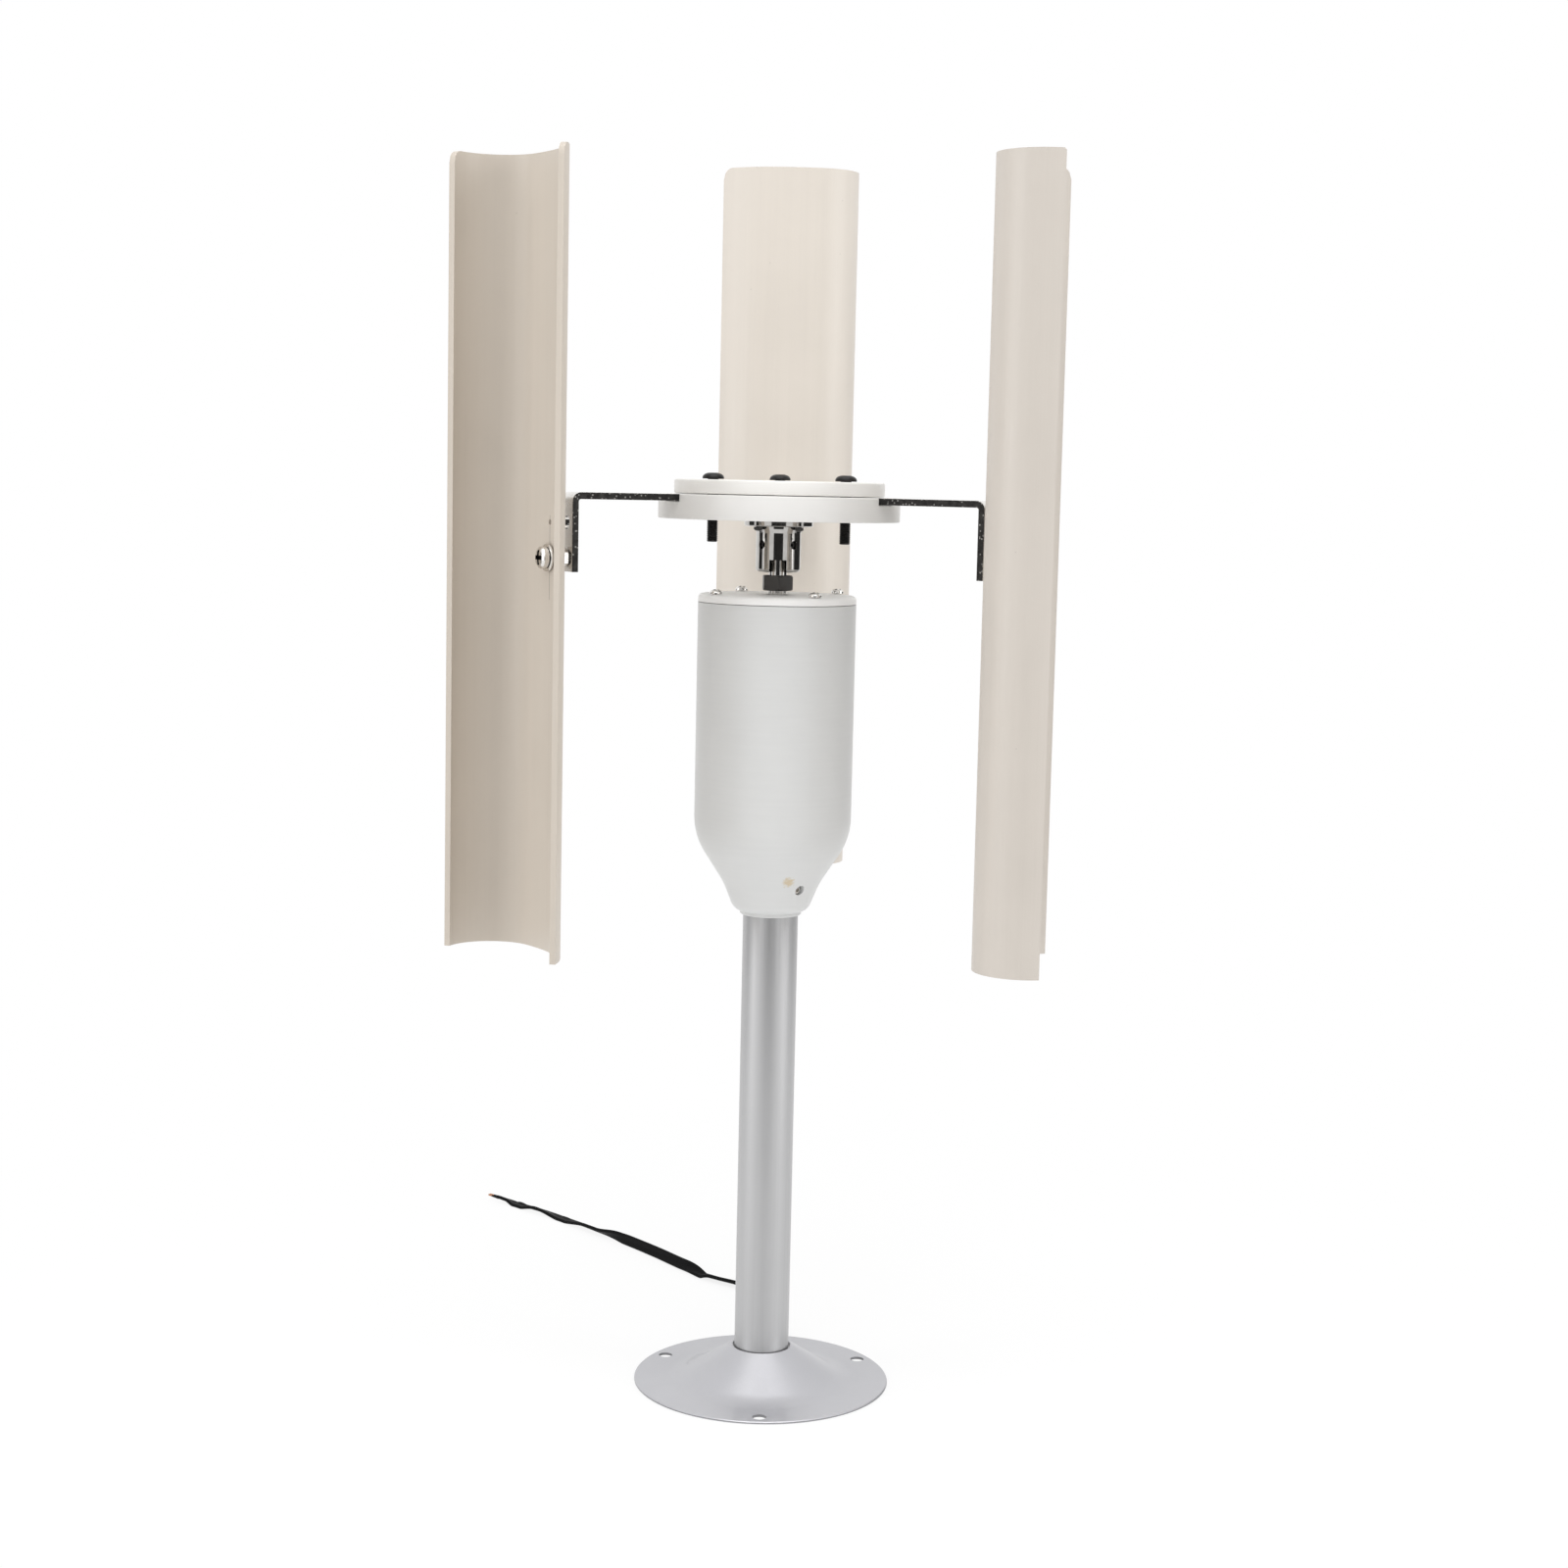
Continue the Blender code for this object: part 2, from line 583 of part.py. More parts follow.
def flange_screw_angles():
    return [45 + 90 * i for i in range(4)]


def hub_screws():
    made = []
    for number, angle in enumerate(HUB_GRUB_ANGLES, 1):
        one = grub_screw(f"hub_grub_screw_{number}", 1.65 * MM, 4.2 * MM)
        made.append(move(one, outward(angle, HUB_GRUB_HEIGHT) @ Matrix.Translation((0, 0, 4.5 * MM))))
    for number, angle in enumerate(flange_screw_angles(), 1):
        one = screw(f"flange_screw_{number}", 1.0 * MM, 8 * MM, 1.9 * MM, 1.7 * MM)
        made.append(move(one, at_polar(angle, HUB_SCREW_CIRCLE)
                         @ Matrix.Translation((0, 0, HUB_FLANGE_BOTTOM - GAP)) @ Matrix.Rotation(pi, 4, "X")))
    return made


def disc(name, radius, bottom, top, chamfer):
    return lathe(name, [(0, bottom), (radius - chamfer, bottom), (radius, bottom + chamfer),
                        (radius, top - chamfer), (radius - chamfer, top), (0, top)], 56)


def bolt_holes():
    return [move(rod(2.8 * MM, 390 * MM, 420 * MM), at_polar(a, CLAMP_BOLT_CIRCLE)) for a in ARM_ANGLES]


def lower_disc():
    """Disc with a channel for each arm, cut into its top face from near its middle out through its rim."""
    made = disc("lower_disc", LOWER_DISC_RADIUS, LOWER_DISC_BOTTOM, LOWER_DISC_TOP, 0.5 * MM)
    half = ARM_WIDTH / 2 + GAP
    floor = LOWER_DISC_TOP - ARM_THICKNESS - GAP
    channels = [move(block((ARM_INNER_END - 0.6 * MM, -half, floor), (60 * MM, half, 412 * MM)),
                     Matrix.Rotation(radians(a), 4, "Z")) for a in ARM_ANGLES]
    screws = [move(rod(1.3 * MM, 395 * MM, 404 * MM, 12), at_polar(a, HUB_SCREW_CIRCLE))
              for a in flange_screw_angles()]
    return cut(made, *channels, *bolt_holes(), *screws)


def top_disc():
    made = disc("top_disc", TOP_DISC_RADIUS, TOP_DISC_BOTTOM, TOP_DISC_TOP, 0.8 * MM)
    return cut(made, *bolt_holes())


def arm(number, angle):
    """Flat bar laid in its channel and bent down into a leg with two holes."""
    top, face = LOWER_DISC_TOP, ARM_LEG_FACE
    centre = (face - ARM_BEND, top - ARM_BEND)
    outer_bend = arc(centre, ARM_BEND, 90, 0, 6)
    inner_bend = arc(centre, ARM_BEND - ARM_THICKNESS, 0, 90, 4)
    outline = [(ARM_INNER_END, top), *outer_bend, (face, ARM_LEG_BOTTOM),
               (face - ARM_THICKNESS, ARM_LEG_BOTTOM), *inner_bend, (ARM_INNER_END, top - ARM_THICKNESS)]
    made = prism(f"arm_{number}", outline, -ARM_WIDTH / 2, ARM_WIDTH / 2)
    move(made, Matrix.Rotation(pi / 2, 4, "X"))
    holes = [move(rod(2.8 * MM, 400 * MM, 412 * MM), at_polar(0, CLAMP_BOLT_CIRCLE))]
    holes += [move(rod(2.8 * MM, 95 * MM, 110 * MM), outward(0, BLADE_SCREW_HEIGHT + step))
              for step in (0, BRACKET_HOLE_STEP)]
    cut(made, *holes)
    return move(made, Matrix.Rotation(radians(angle), 4, "Z"))


def clamp_bolt(number, angle):
    made = screw(f"clamp_bolt_{number}", 2.5 * MM, TOP_DISC_TOP - CLAMP_BOLT_BOTTOM, 4.8 * MM, 2.75 * MM,
                 dome=0.8)
    return move(made, at_polar(angle, CLAMP_BOLT_CIRCLE) @ Matrix.Translation((0, 0, TOP_DISC_TOP + GAP)))


# ---------------------------------------------------------------- blades

def blade_section():
    """The section's middle line from its nose edge to its tail edge: places, normals and developed widths."""
    def run(radius, length, steps, place, turn, side, found):
        for _ in range(steps):
            middle = turn + length / radius / steps / 2
            place = (place[0] + sin(middle) * length / steps, place[1] + side * cos(middle) * length / steps)
            turn += length / radius / steps
            found.append((place, (-cos(turn), side * sin(turn))))
        return place, turn

    start = (BLADE_CONTACT + BLADE_WALL / 2, 0.0)
    nose, tail = [(start, (-1.0, 0.0))], []
    place, turn = run(BLADE_BACK_RADIUS, BLADE_BACK_LENGTH, 2, start, 0.0, -1, nose)
    run(BLADE_NOSE_RADIUS, BLADE_NOSE_RADIUS * BLADE_NOSE_TURN, 18, place, turn, -1, nose)
    run(BLADE_TAIL_RADIUS, BLADE_TAIL_RADIUS * BLADE_TAIL_TURN, 14, start, 0.0, 1, tail)
    line = nose[::-1] + tail
    widths = [0.0]
    for (here, _), (there, _) in zip(line, line[1:]):
        widths.append(widths[-1] + sqrt((there[0] - here[0]) ** 2 + (there[1] - here[1]) ** 2))
    return line, widths


def corner_drop(distance, radius):
    """How far a rounded corner lies below the blade's end, at a distance from its edge."""
    if distance >= radius:
        return 0.0
    return radius - sqrt(radius ** 2 - (radius - distance) ** 2)


def blade(number, angle, bottom, nose_corner, tail_corner):
    line, widths = blade_section()
    bm = bmesh.new()
    columns = []
    for (place, normal), width in zip(line, widths):
        drop = max(corner_drop(width, nose_corner), corner_drop(widths[-1] - width, tail_corner))
        column = []
        for offset, height in ((1, bottom), (1, bottom + BLADE_LENGTH - drop),
                               (-1, bottom + BLADE_LENGTH - drop), (-1, bottom)):
            reach = offset * BLADE_WALL / 2
            column.append(bm.verts.new((place[0] + normal[0] * reach, place[1] + normal[1] * reach, height)))
        columns.append(column)
    for here, there in zip(columns, columns[1:]):
        for i in range(4):
            bm.faces.new([here[i], there[i], there[i - 3], here[i - 3]])
    bm.faces.new(columns[0])
    bm.faces.new(columns[-1][::-1])
    made = finish(f"blade_{number}", bm)
    screw_height = bottom + BLADE_LENGTH / 2
    holes = [move(rod(2.9 * MM, 100 * MM, 120 * MM), outward(0, screw_height)),
             move(rod(1.3 * MM, 100 * MM, 120 * MM, 12), outward(0, screw_height + BRACKET_HOLE_STEP))]
    cut(made, *holes)
    return move(made, Matrix.Rotation(radians(angle), 4, "Z"))


def blade_fixings(number, angle, height):
    """Screw, washer and spacer nut that hold one blade on its arm's leg, along the arm's direction."""
    inner_face = BLADE_CONTACT + BLADE_WALL + 0.8 * MM
    washer_thickness = 1.0 * MM
    head = inner_face + washer_thickness + GAP
    out = outward(angle, height)
    bolt = screw(f"blade_screw_{number}", 2.5 * MM, head - ARM_LEG_FACE + 4.4 * MM, 4.75 * MM, 3.4 * MM,
                 "cross", 0.7)
    move(bolt, out @ Matrix.Translation((0, 0, head)))
    ring = [(2.8 * MM, inner_face), (6.0 * MM, inner_face), (6.0 * MM, inner_face + washer_thickness),
            (2.8 * MM, inner_face + washer_thickness)]
    washer = move(lathe(f"blade_washer_{number}", ring, SMALL_ROUND), out)
    nut = hex_nut(f"blade_spacer_nut_{number}", 8 * MM, 2.8 * MM, ARM_LEG_FACE + GAP, BLADE_CONTACT - GAP)
    return [bolt, washer, move(nut, out)]


# ---------------------------------------------------------------- the whole turbine

def build():
    clear_scene()
    white = material("white_plastic", (0.63, 0.63, 0.61), 0.45)
    silver = material("silver_paint", (0.47, 0.48, 0.50), 0.38, 0.55)
    tube_metal = material("satin_metal", (0.46, 0.47, 0.49), 0.36, 0.75)
    steel = material("bright_steel", (0.58, 0.57, 0.55), 0.24, 1.0)
    dark_steel = material("dark_steel", (0.10, 0.10, 0.10), 0.42, 0.9)
    ivory = material("ivory_plastic", (0.74, 0.68, 0.60), 0.42)
    black = material("black_plastic", (0.012, 0.012, 0.013), 0.5)
    copper = material("copper_wire", (0.62, 0.27, 0.12), 0.35, 1.0)
    magnet = material("magnet", (0.05, 0.05, 0.055), 0.5, 0.4)
    cast = material("cast_aluminium", (0.55, 0.56, 0.57), 0.45, 1.0)

    cable, core_1, core_2, mast_cable = cable_pieces()
    rotor, balls = [], {}
    for piece, finish_material in ((base_flange(), silver), (mast_tube(), tube_metal), (foot_plate(), steel),
                                   (foot_plug(), cast), (foot_bolt(), steel), (cable_grommet(), black),
                                   (cable, black), (core_1, copper), (core_2, copper), (mast_cable, black),
                                   (housing_shell(), white), (housing_cover(), white),
                                   *((one, steel) for one in cover_screws()), (neck_set_screw(), dark_steel),
                                   (end_plate("generator_rear_plate", REAR_PLATE_BOTTOM), cast),
                                   (end_plate("generator_front_plate", FRONT_PLATE_BOTTOM), cast),
                                   (generator_can(), steel), (stator_core(), dark_steel),
                                   (stator_windings(), copper)):
        paint(piece, finish_material)
    for place, bottom in (("front", FRONT_PLATE_BOTTOM), ("rear", REAR_PLATE_BOTTOM)):
        outer, inner, ball_set = bearing(place, bottom)
        for piece in (outer, inner, ball_set):
            paint(piece, steel)
        rotor.append(inner)
        balls[place] = (ball_set, bottom)
    for piece, finish_material in ((rotor_shaft(), steel), (shaft_circlip(), dark_steel),
                                   (rotor_core(), dark_steel), (magnet_ring(), magnet),
                                   (lock_nut(), dark_steel), (coupling_hub(), steel),
                                   *((one, dark_steel) for one in hub_screws()), (lower_disc(), white),
                                   (top_disc(), white)):
        paint(piece, finish_material)
        rotor.append(piece)
    for number, angle in enumerate(ARM_ANGLES, 1):
        lift = BRACKET_HOLE_STEP if angle == RAISED_BLADE else 0.0
        height = BLADE_SCREW_HEIGHT + lift
        nose_corner = 0.8 * MM if angle == 330 else 5.5 * MM
        bracket, bolt = arm(number, angle), clamp_bolt(number, angle)
        wing = blade(number, angle, height - BLADE_LENGTH / 2, nose_corner, 5.5 * MM)
        fixings = blade_fixings(number, angle, height)
        for piece, finish_material in ((bracket, steel), (bolt, black), (wing, ivory),
                                       *((one, steel) for one in fixings)):
            paint(piece, finish_material)
            rotor.append(piece)
    hang_on(axis_empty("rotor_axis", NUT_BOTTOM), rotor)
    for place, (ball_set, bottom) in balls.items():
        hang_on(axis_empty(f"{place}_ball_axis", bottom), [ball_set])


build()
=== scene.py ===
"""Shows the vertical axis turbine: finishes for its metal, plastic and rubber, and finer pieces.

Run as a script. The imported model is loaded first, and every piece rides on one of its bodies.
"""

from math import cos, degrees, hypot, pi, radians, sin, sqrt, tan

import bmesh
import bpy
from mathutils import Matrix, Vector


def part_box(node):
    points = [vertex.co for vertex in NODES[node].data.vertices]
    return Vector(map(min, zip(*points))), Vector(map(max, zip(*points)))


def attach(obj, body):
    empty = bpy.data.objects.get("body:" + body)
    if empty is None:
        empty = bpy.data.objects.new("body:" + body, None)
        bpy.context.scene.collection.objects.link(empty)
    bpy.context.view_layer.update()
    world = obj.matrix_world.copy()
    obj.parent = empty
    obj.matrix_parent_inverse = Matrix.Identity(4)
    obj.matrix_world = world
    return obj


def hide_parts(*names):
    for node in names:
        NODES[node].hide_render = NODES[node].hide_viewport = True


bl_info = {
    "name": "Vertical axis turbine",
    "version": (1, 0, 0),
    "blender": (4, 5, 0),
    "location": "View3D > Sidebar > Turbine",
    "description": "Finishes and finer pieces for a small vertical axis turbine",
    "category": "Object",
}

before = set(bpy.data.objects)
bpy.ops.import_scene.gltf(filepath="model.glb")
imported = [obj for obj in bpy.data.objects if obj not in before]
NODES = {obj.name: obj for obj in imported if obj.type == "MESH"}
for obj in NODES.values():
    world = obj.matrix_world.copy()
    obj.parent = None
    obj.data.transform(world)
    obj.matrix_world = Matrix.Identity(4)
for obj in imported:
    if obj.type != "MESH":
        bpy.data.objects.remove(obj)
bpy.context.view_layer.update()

MM = 0.001
GAP = 0.3 * MM

# Stand
MAST_RADIUS = 12.5 * MM
MAST_WALL = 1.5 * MM
FLANGE_SHEET = 1.2 * MM
FLANGE_FLAT_RADIUS = 44.0 * MM
FLANGE_FOOT_BEND = 20.0 * MM
FLANGE_CONE_SLOPE = radians(32.5)
FLANGE_COLLAR_RADIUS = 13.3 * MM
FLANGE_HOLE_RADIUS = 3.15 * MM
FLANGE_HOLE_CIRCLE = 52.5 * MM
FLANGE_HOLE_ANGLES = (30, 150, 270)
CABLE_EXIT_HEIGHT = 30.0 * MM
CABLE_EXIT_RADIUS = 4.6 * MM

# Housing
HOUSING_RADIUS = 35.5 * MM
HOUSING_WALL = 2.5 * MM
HOUSING_SHOULDER = 264.0 * MM
SHOULDER_BEND = 31.0 * MM
COVER_SCREW_CIRCLE = 31.8 * MM
COVER_SCREW_ANGLES = (31.5, 121.5, 211.5, 301.5)
NECK_SCREW_ANGLE = 307.0
NECK_SCREW_HEIGHT = 232.7 * MM
NECK_SCREW_TIP = 12.9 * MM
NECK_SCREW_SIZE = (1.95 * MM, 6.6 * MM)
NECK_SCREW_HOLE = 2.3 * MM
# The glue smear: where it lies round the mast, how ragged it is, and where its edge starts and ends to fade
GLUE_ANGLE = NECK_SCREW_ANGLE - 18
GLUE_REACH = 23.9 * MM
GLUE_HEIGHT = NECK_SCREW_HEIGHT + 4.5 * MM
GLUE_RAGGED = 5.5 * MM
GLUE_INNER_EDGE = 4.3 * MM
GLUE_OUTER_EDGE = 6.0 * MM
# The bottle's neck, hollow and shoulder, and what they hold
NECK_RADIUS = 13.9 * MM
NECK_TOP = 220.8 * MM
NECK_LIP_CENTRE = (12.4 * MM, 226.6 * MM)
NECK_LIP_RADIUS = 6.1 * MM
SHOULDER_HOLLOW_CENTRE = (57.5 * MM, 215.2 * MM)
SHOULDER_HOLLOW_RADIUS = 40.0 * MM
SLEEVE_BORE = 15.3 * MM
SLEEVE_TOP = 229.0 * MM
CAVITY_BOTTOM = 276.0 * MM
SEAT_BORE = 28.6 * MM
SEAT_BOTTOM = 345.0 * MM
COVER_HOLE = 5.2 * MM
COVER_ROUNDING = 2.0 * MM
COVER_LIP_BORE = 24.0 * MM
COVER_LIP_RADIUS = 28.2 * MM

# Rotor
SHAFT_BORE = 4.3 * MM
HUB_RADIUS = 10.0 * MM
HUB_ROUNDING = 1.6 * MM
HUB_WALL_TOP = 391.6 * MM
HUB_WALL_SET_IN = 0.3 * MM
HUB_NECK_RADIUS = 10.7 * MM
HUB_NECK_BOTTOM = 393.0 * MM
HUB_FLANGE_THICKNESS = 2.5 * MM
HUB_FLANGE_CHAMFER = 0.4 * MM
HUB_FLANGE_RADIUS = 15.4 * MM
HUB_SLOT_WIDTH = 7.6 * MM
HUB_SLOT_TOP = 379.6 * MM
HUB_GRUB_HEIGHT = 386.3 * MM
HUB_GRUB_ANGLES = (222, 314)
HUB_GRUB_TIP = 4.5 * MM
HUB_GRUB_SIZE = (1.65 * MM, 4.2 * MM)
HUB_GRUB_HOLE = 1.95 * MM
HUB_SCREW_CIRCLE = 12.9 * MM
HUB_SCREW_ANGLES = (45, 135, 225, 315)
HUB_SCREW_HOLE = 1.3 * MM
NUT_ACROSS_FLATS = 13.0 * MM
NUT_TURN = radians(35)
LOWER_DISC_CHAMFER = 0.5 * MM
TOP_DISC_CHAMFER = 0.8 * MM
ARM_ANGLES = (90, 210, 330)
ARM_WIDTH = 12.0 * MM
ARM_THICKNESS = 3.0 * MM
ARM_BEND = 4.0 * MM
ARM_INNER_END = 15.3 * MM
ARM_LEG_FACE = 104.4 * MM
ARM_HOLE_HEIGHT = 380.0 * MM
CLAMP_BOLT_CIRCLE = 33.7 * MM
CLAMP_BOLT_RADIUS = 2.5 * MM
CLAMP_BOLT_PLAIN = 15.0 * MM
M5_HOLE = 2.8 * MM
BLADE_WALL = 2.5 * MM
BLADE_CONTACT = 109.6 * MM
BLADE_NOSE_RADIUS = 20.0 * MM
BLADE_NOSE_TURN = radians(125)
BLADE_BACK_RADIUS = 100.0 * MM
BLADE_BACK_LENGTH = 17.5 * MM
BLADE_TAIL_RADIUS = 44.0 * MM
BLADE_TAIL_TURN = radians(43)
BLADE_CORNER = 5.5 * MM
BLADE_SQUARE_CORNER = 0.8 * MM
SQUARE_NOSED_BLADE = 330
BLADE_STEP = 0.9 * MM
BLADE_SCREW_HOLE = 2.9 * MM
BLADE_PILOT_HOLE = 1.3 * MM
BLADE_SCREW_END = ARM_LEG_FACE - 4.4 * MM
BRACKET_HOLE_STEP = 15.0 * MM
# The fitter's pencil line on the left blade
PENCIL_HALF_WIDTH = 0.22 * MM
PENCIL_BOTTOM = 362.0 * MM
PENCIL_TOP = 398.0 * MM
WASHER_RADIUS = 6.0 * MM
WASHER_THICKNESS = 1.0 * MM
WASHER_STAND_OFF = 0.8 * MM
WASHER_EDGE = 0.2 * MM
SPACER_ACROSS_FLATS = 8.0 * MM

# Screws: shank radius, length under the head, head radius, head height, recess and how domed the head is
COVER_SCREW = (1.5 * MM, 12.0 * MM, 2.8 * MM, 2.1 * MM, "cross", 0.75)
FLANGE_SCREW = (1.0 * MM, 8.0 * MM, 1.9 * MM, 1.7 * MM, "hex", 0.5)
CLAMP_BOLT_HEAD = (2.4 * MM, 16.0 * MM, 4.8 * MM, 2.75 * MM, "hex", 0.85)
BLADE_SCREW_RADIUS = 2.5 * MM
BLADE_SCREW_HEAD = (4.75 * MM, 3.4 * MM, "cross", 0.45)

# The cord's route, in metres, from the back of the mast to its bare end, as if it stood on edge all the way
CORD_ROUTE = (
    (0, 0.0164, 0.030), (0, 0.021, 0.0296), (0.0004, 0.033, 0.024), (0.0015, 0.048, 0.0125),
    (0.003, 0.066, 0.005), (0.0045, 0.086, 0.00305), (0.004, 0.108, 0.00305), (-0.0025, 0.126, 0.00305),
    (-0.015, 0.136, 0.00305), (-0.028, 0.146, 0.00305), (-0.042, 0.161, 0.00305),
    (-0.058, 0.182, 0.00305), (-0.075, 0.203, 0.00305), (-0.091, 0.221, 0.00305),
    (-0.104, 0.236, 0.00305), (-0.118, 0.251, 0.00305), (-0.132, 0.264, 0.00305),
    (-0.145, 0.276, 0.00305), (-0.153, 0.283, 0.00305),
)
# How far the cord has rolled over at each share of its length, in degrees; 90 stands it on edge
CORD_ROLL = ((0.0, 0), (0.30, 0), (0.37, -26), (0.44, -22), (0.51, 62), (0.66, 82), (0.745, 150), (0.77, 152),
             (0.84, 182), (0.905, 154), (0.955, 186), (0.985, 156), (1.0, 154))
# The cord starts to settle onto the floor this far along, over this length
CORD_SETTLE_START = 55.0 * MM
CORD_SETTLE_LENGTH = 30.0 * MM
# The bare cores: how far each is from the cord's middle, how thick, and how much of each keeps its sheath
CORE_OFFSET = 1.4 * MM
CORE_RADIUS = 0.5 * MM
CORE_SHEATH = 6.1 * MM

# Edges flatter than the smooth angles, in degrees, are shaded smooth; those sharper than the last are rounded
SMOOTH_ANGLE = 32.0
BOLT_SMOOTH_ANGLE = 40.0
CORD_SMOOTH_ANGLE = 50.0
ROUNDED_ANGLE = 38.0
# Rounding of the pressed base, the clamp discs, the housing, and the small steel pieces
SHEET_ROUNDING = 0.15 * MM
DISC_ROUNDING = 0.15 * MM
HOUSING_ROUNDING = 0.25 * MM
STEEL_ROUNDING = 0.12 * MM
# Sides of the round pieces
HUB_SIDES = 96
NUT_SIDES = 64
SCREW_SIDES = 48
GRUB_SIDES = 32
THREAD_SIDES = 28

# Stage
WORLD_STRENGTH = 0.58
FLOOR_SIZE = 6.0
FLOOR_NEAR, FLOOR_FAR = 0.10, 0.55
FLOOR_SHADOW_SHARE = 0.82
LIGHT_AIM = (0, 0, 0.33)
# Lights: name, place, size and power in watts
LIGHTS = (
    ("left", (-1.95, -0.85, 0.85), (1.0, 1.7), 15),
    ("right", (1.95, -0.85, 0.85), (1.0, 1.7), 15),
    ("top", (0, -0.35, 2.0), (1.6, 1.2), 17),
    ("front", (0.1, -1.75, 1.75), (1.6, 0.9), 6.5),
)
# Dark cards: name, place, the point that each faces, and size
DARK_CARDS = (
    ("front_card", (0, -1.0, 0.26), (0, 0, 0.26), (0.9, 0.5)),
    ("left_card", (-0.9, 0.22, 0.33), (0, 0.22, 0.33), (0.46, 0.5)),
    ("right_card", (0.9, 0.7, 0.33), (0, 0.7, 0.33), (1.4, 0.5)),
)
CARD_TONE = (0.02, 0.02, 0.02, 1)
CAMERA_PLACE = (4.84 * MM, -1148.4 * MM, 413.7 * MM)
CAMERA_PITCH = radians(6.713)
CAMERA_ROLL = radians(1.257)
CAMERA_LENS = 58.70


# ---------------------------------------------------------------- sizes and colours

def colour(title, hint, value):
    return bpy.props.FloatVectorProperty(name=title, description=hint, subtype="COLOR", size=3, min=0.0,
                                         max=1.0, default=value)


def length(title, hint, value):
    return bpy.props.FloatProperty(name=title, description=hint, unit="LENGTH", default=value, min=0.0,
                                   precision=5)


class TurbineSizes(bpy.types.PropertyGroup):
    """Sizes of the finer details"""
    blade_rounding: length("Blade edge", "Rounding of the blades' cut edges", 0.5 * MM)
    bar_rounding: length("Bar edge", "Rounding of the bracket bars' edges", 0.25 * MM)
    cord_width: length("Cord width", "Width of the flat twin cord", 6.0 * MM)
    cord_thickness: length("Cord thickness", "Thickness of the flat twin cord", 1.9 * MM)
    thread_pitch: length("Thread pitch", "Pitch of the clamp bolts' thread", 0.8 * MM)
    round_steps: bpy.props.IntProperty(name="Round steps", description="Sides of the largest round pieces",
                                       default=144, min=24, max=512)


class TurbineColours(bpy.types.PropertyGroup):
    """Base colours of the finishes"""
    # The three blades are one ivory plastic: the rear blade's colour is painted lighter and the left and right
    # blades' darker, as painted light and shade
    rear_blade_painted_light: colour("Rear blade", "Warm ivory of the rear blade, lightened as painted light", (0.645, 0.595, 0.535))
    left_blade_painted_shade: colour("Left blade", "Ivory of the left blade, darkened as painted shade", (0.54, 0.485, 0.42))
    right_blade_painted_shade: colour("Right blade", "Ivory of the right blade, darkened as painted shade", (0.56, 0.515, 0.465))
    white: colour("White plastic", "Housing", (0.70, 0.705, 0.70))
    cover: colour("Cover plastic", "Housing's cover", (0.93, 0.925, 0.91))
    top_disc: colour("Top disc", "Upper clamp disc", (0.89, 0.88, 0.855))
    lower_disc: colour("Lower disc", "Lower clamp disc", (0.79, 0.78, 0.76))
    silver: colour("Silver paint", "Base flange", (0.47, 0.47, 0.495))
    tube: colour("Tube", "Mast tube", (0.50, 0.50, 0.505))
    steel: colour("Steel", "Bright plated steel", (0.84, 0.82, 0.79))
    dark: colour("Dark steel", "Oiled and blackened steel", (0.062, 0.060, 0.059))
    cord: colour("Cord", "Cord's black sheath", (0.004, 0.004, 0.0045))
    floor: colour("Floor", "Floor and backdrop", (0.93, 0.93, 0.93))


def sizes():
    return bpy.context.scene.turbine_sizes


def colours():
    return bpy.context.scene.turbine_colours


# ---------------------------------------------------------------- node groups

def new_group(name, inputs, outputs):
    """A shader node group with named sockets: (name, kind, default) for inputs, (name, kind) for outputs."""
    group = bpy.data.node_groups.new(name, "ShaderNodeTree")
    for title, kind, value in inputs:
        socket = group.interface.new_socket(title, in_out="INPUT", socket_type="NodeSocket" + kind)
        if value is not None:
            socket.default_value = value
    for title, kind in outputs:
        group.interface.new_socket(title, in_out="OUTPUT", socket_type="NodeSocket" + kind)
    return group, group.nodes.new("NodeGroupInput").outputs, group.nodes.new("NodeGroupOutput").inputs


def set_inputs(node, **values):
    """Sets a node's inputs by their titles, with an underscore for each space."""
    for title, value in values.items():
        node.inputs[title.replace("_", " ")].default_value = value


def math_node(tree, operation, first, second=None):
    node = tree.nodes.new("ShaderNodeMath")
    node.operation = operation
    for socket, value in zip(node.inputs, (first, second)):
        if isinstance(value, bpy.types.NodeSocket):
            tree.links.new(value, socket)
        elif value is not None:
            socket.default_value = value
    return node.outputs[0]


def stretched(tree, place, across, along):
    """The place scaled by one number across and another along Z."""
    scale = tree.nodes.new("ShaderNodeCombineXYZ")
    for index, value in enumerate((across, across, along)):
        tree.links.new(value, scale.inputs[index])
    product = tree.nodes.new("ShaderNodeVectorMath")
    product.operation = "MULTIPLY"
    tree.links.new(place, product.inputs[0])
    tree.links.new(scale.outputs[0], product.inputs[1])
    return product.outputs[0]


def noise(tree, place, scale, detail, roughness=0.55, distortion=0.0):
    node = tree.nodes.new("ShaderNodeTexNoise")
    tree.links.new(place, node.inputs["Vector"])
    if isinstance(scale, bpy.types.NodeSocket):
        tree.links.new(scale, node.inputs["Scale"])
    else:
        node.inputs["Scale"].default_value = scale
    set_inputs(node, Detail=detail, Roughness=roughness, Distortion=distortion)
    return node.outputs[0]


def spread(tree, value, low=0.0, high=1.0, start=0.0, end=1.0):
    """Stretches the part of a value between two limits from a start to an end."""
    node = tree.nodes.new("ShaderNodeMapRange")
    tree.links.new(value, node.inputs["Value"])
    for socket, limit in zip(node.inputs[1:5], (low, high, start, end)):
        socket.default_value = limit
    return node.outputs[0]


def apart(tree, place):
    """The place's three coordinates, each by itself."""
    node = tree.nodes.new("ShaderNodeSeparateXYZ")
    tree.links.new(place, node.inputs[0])
    return node.outputs


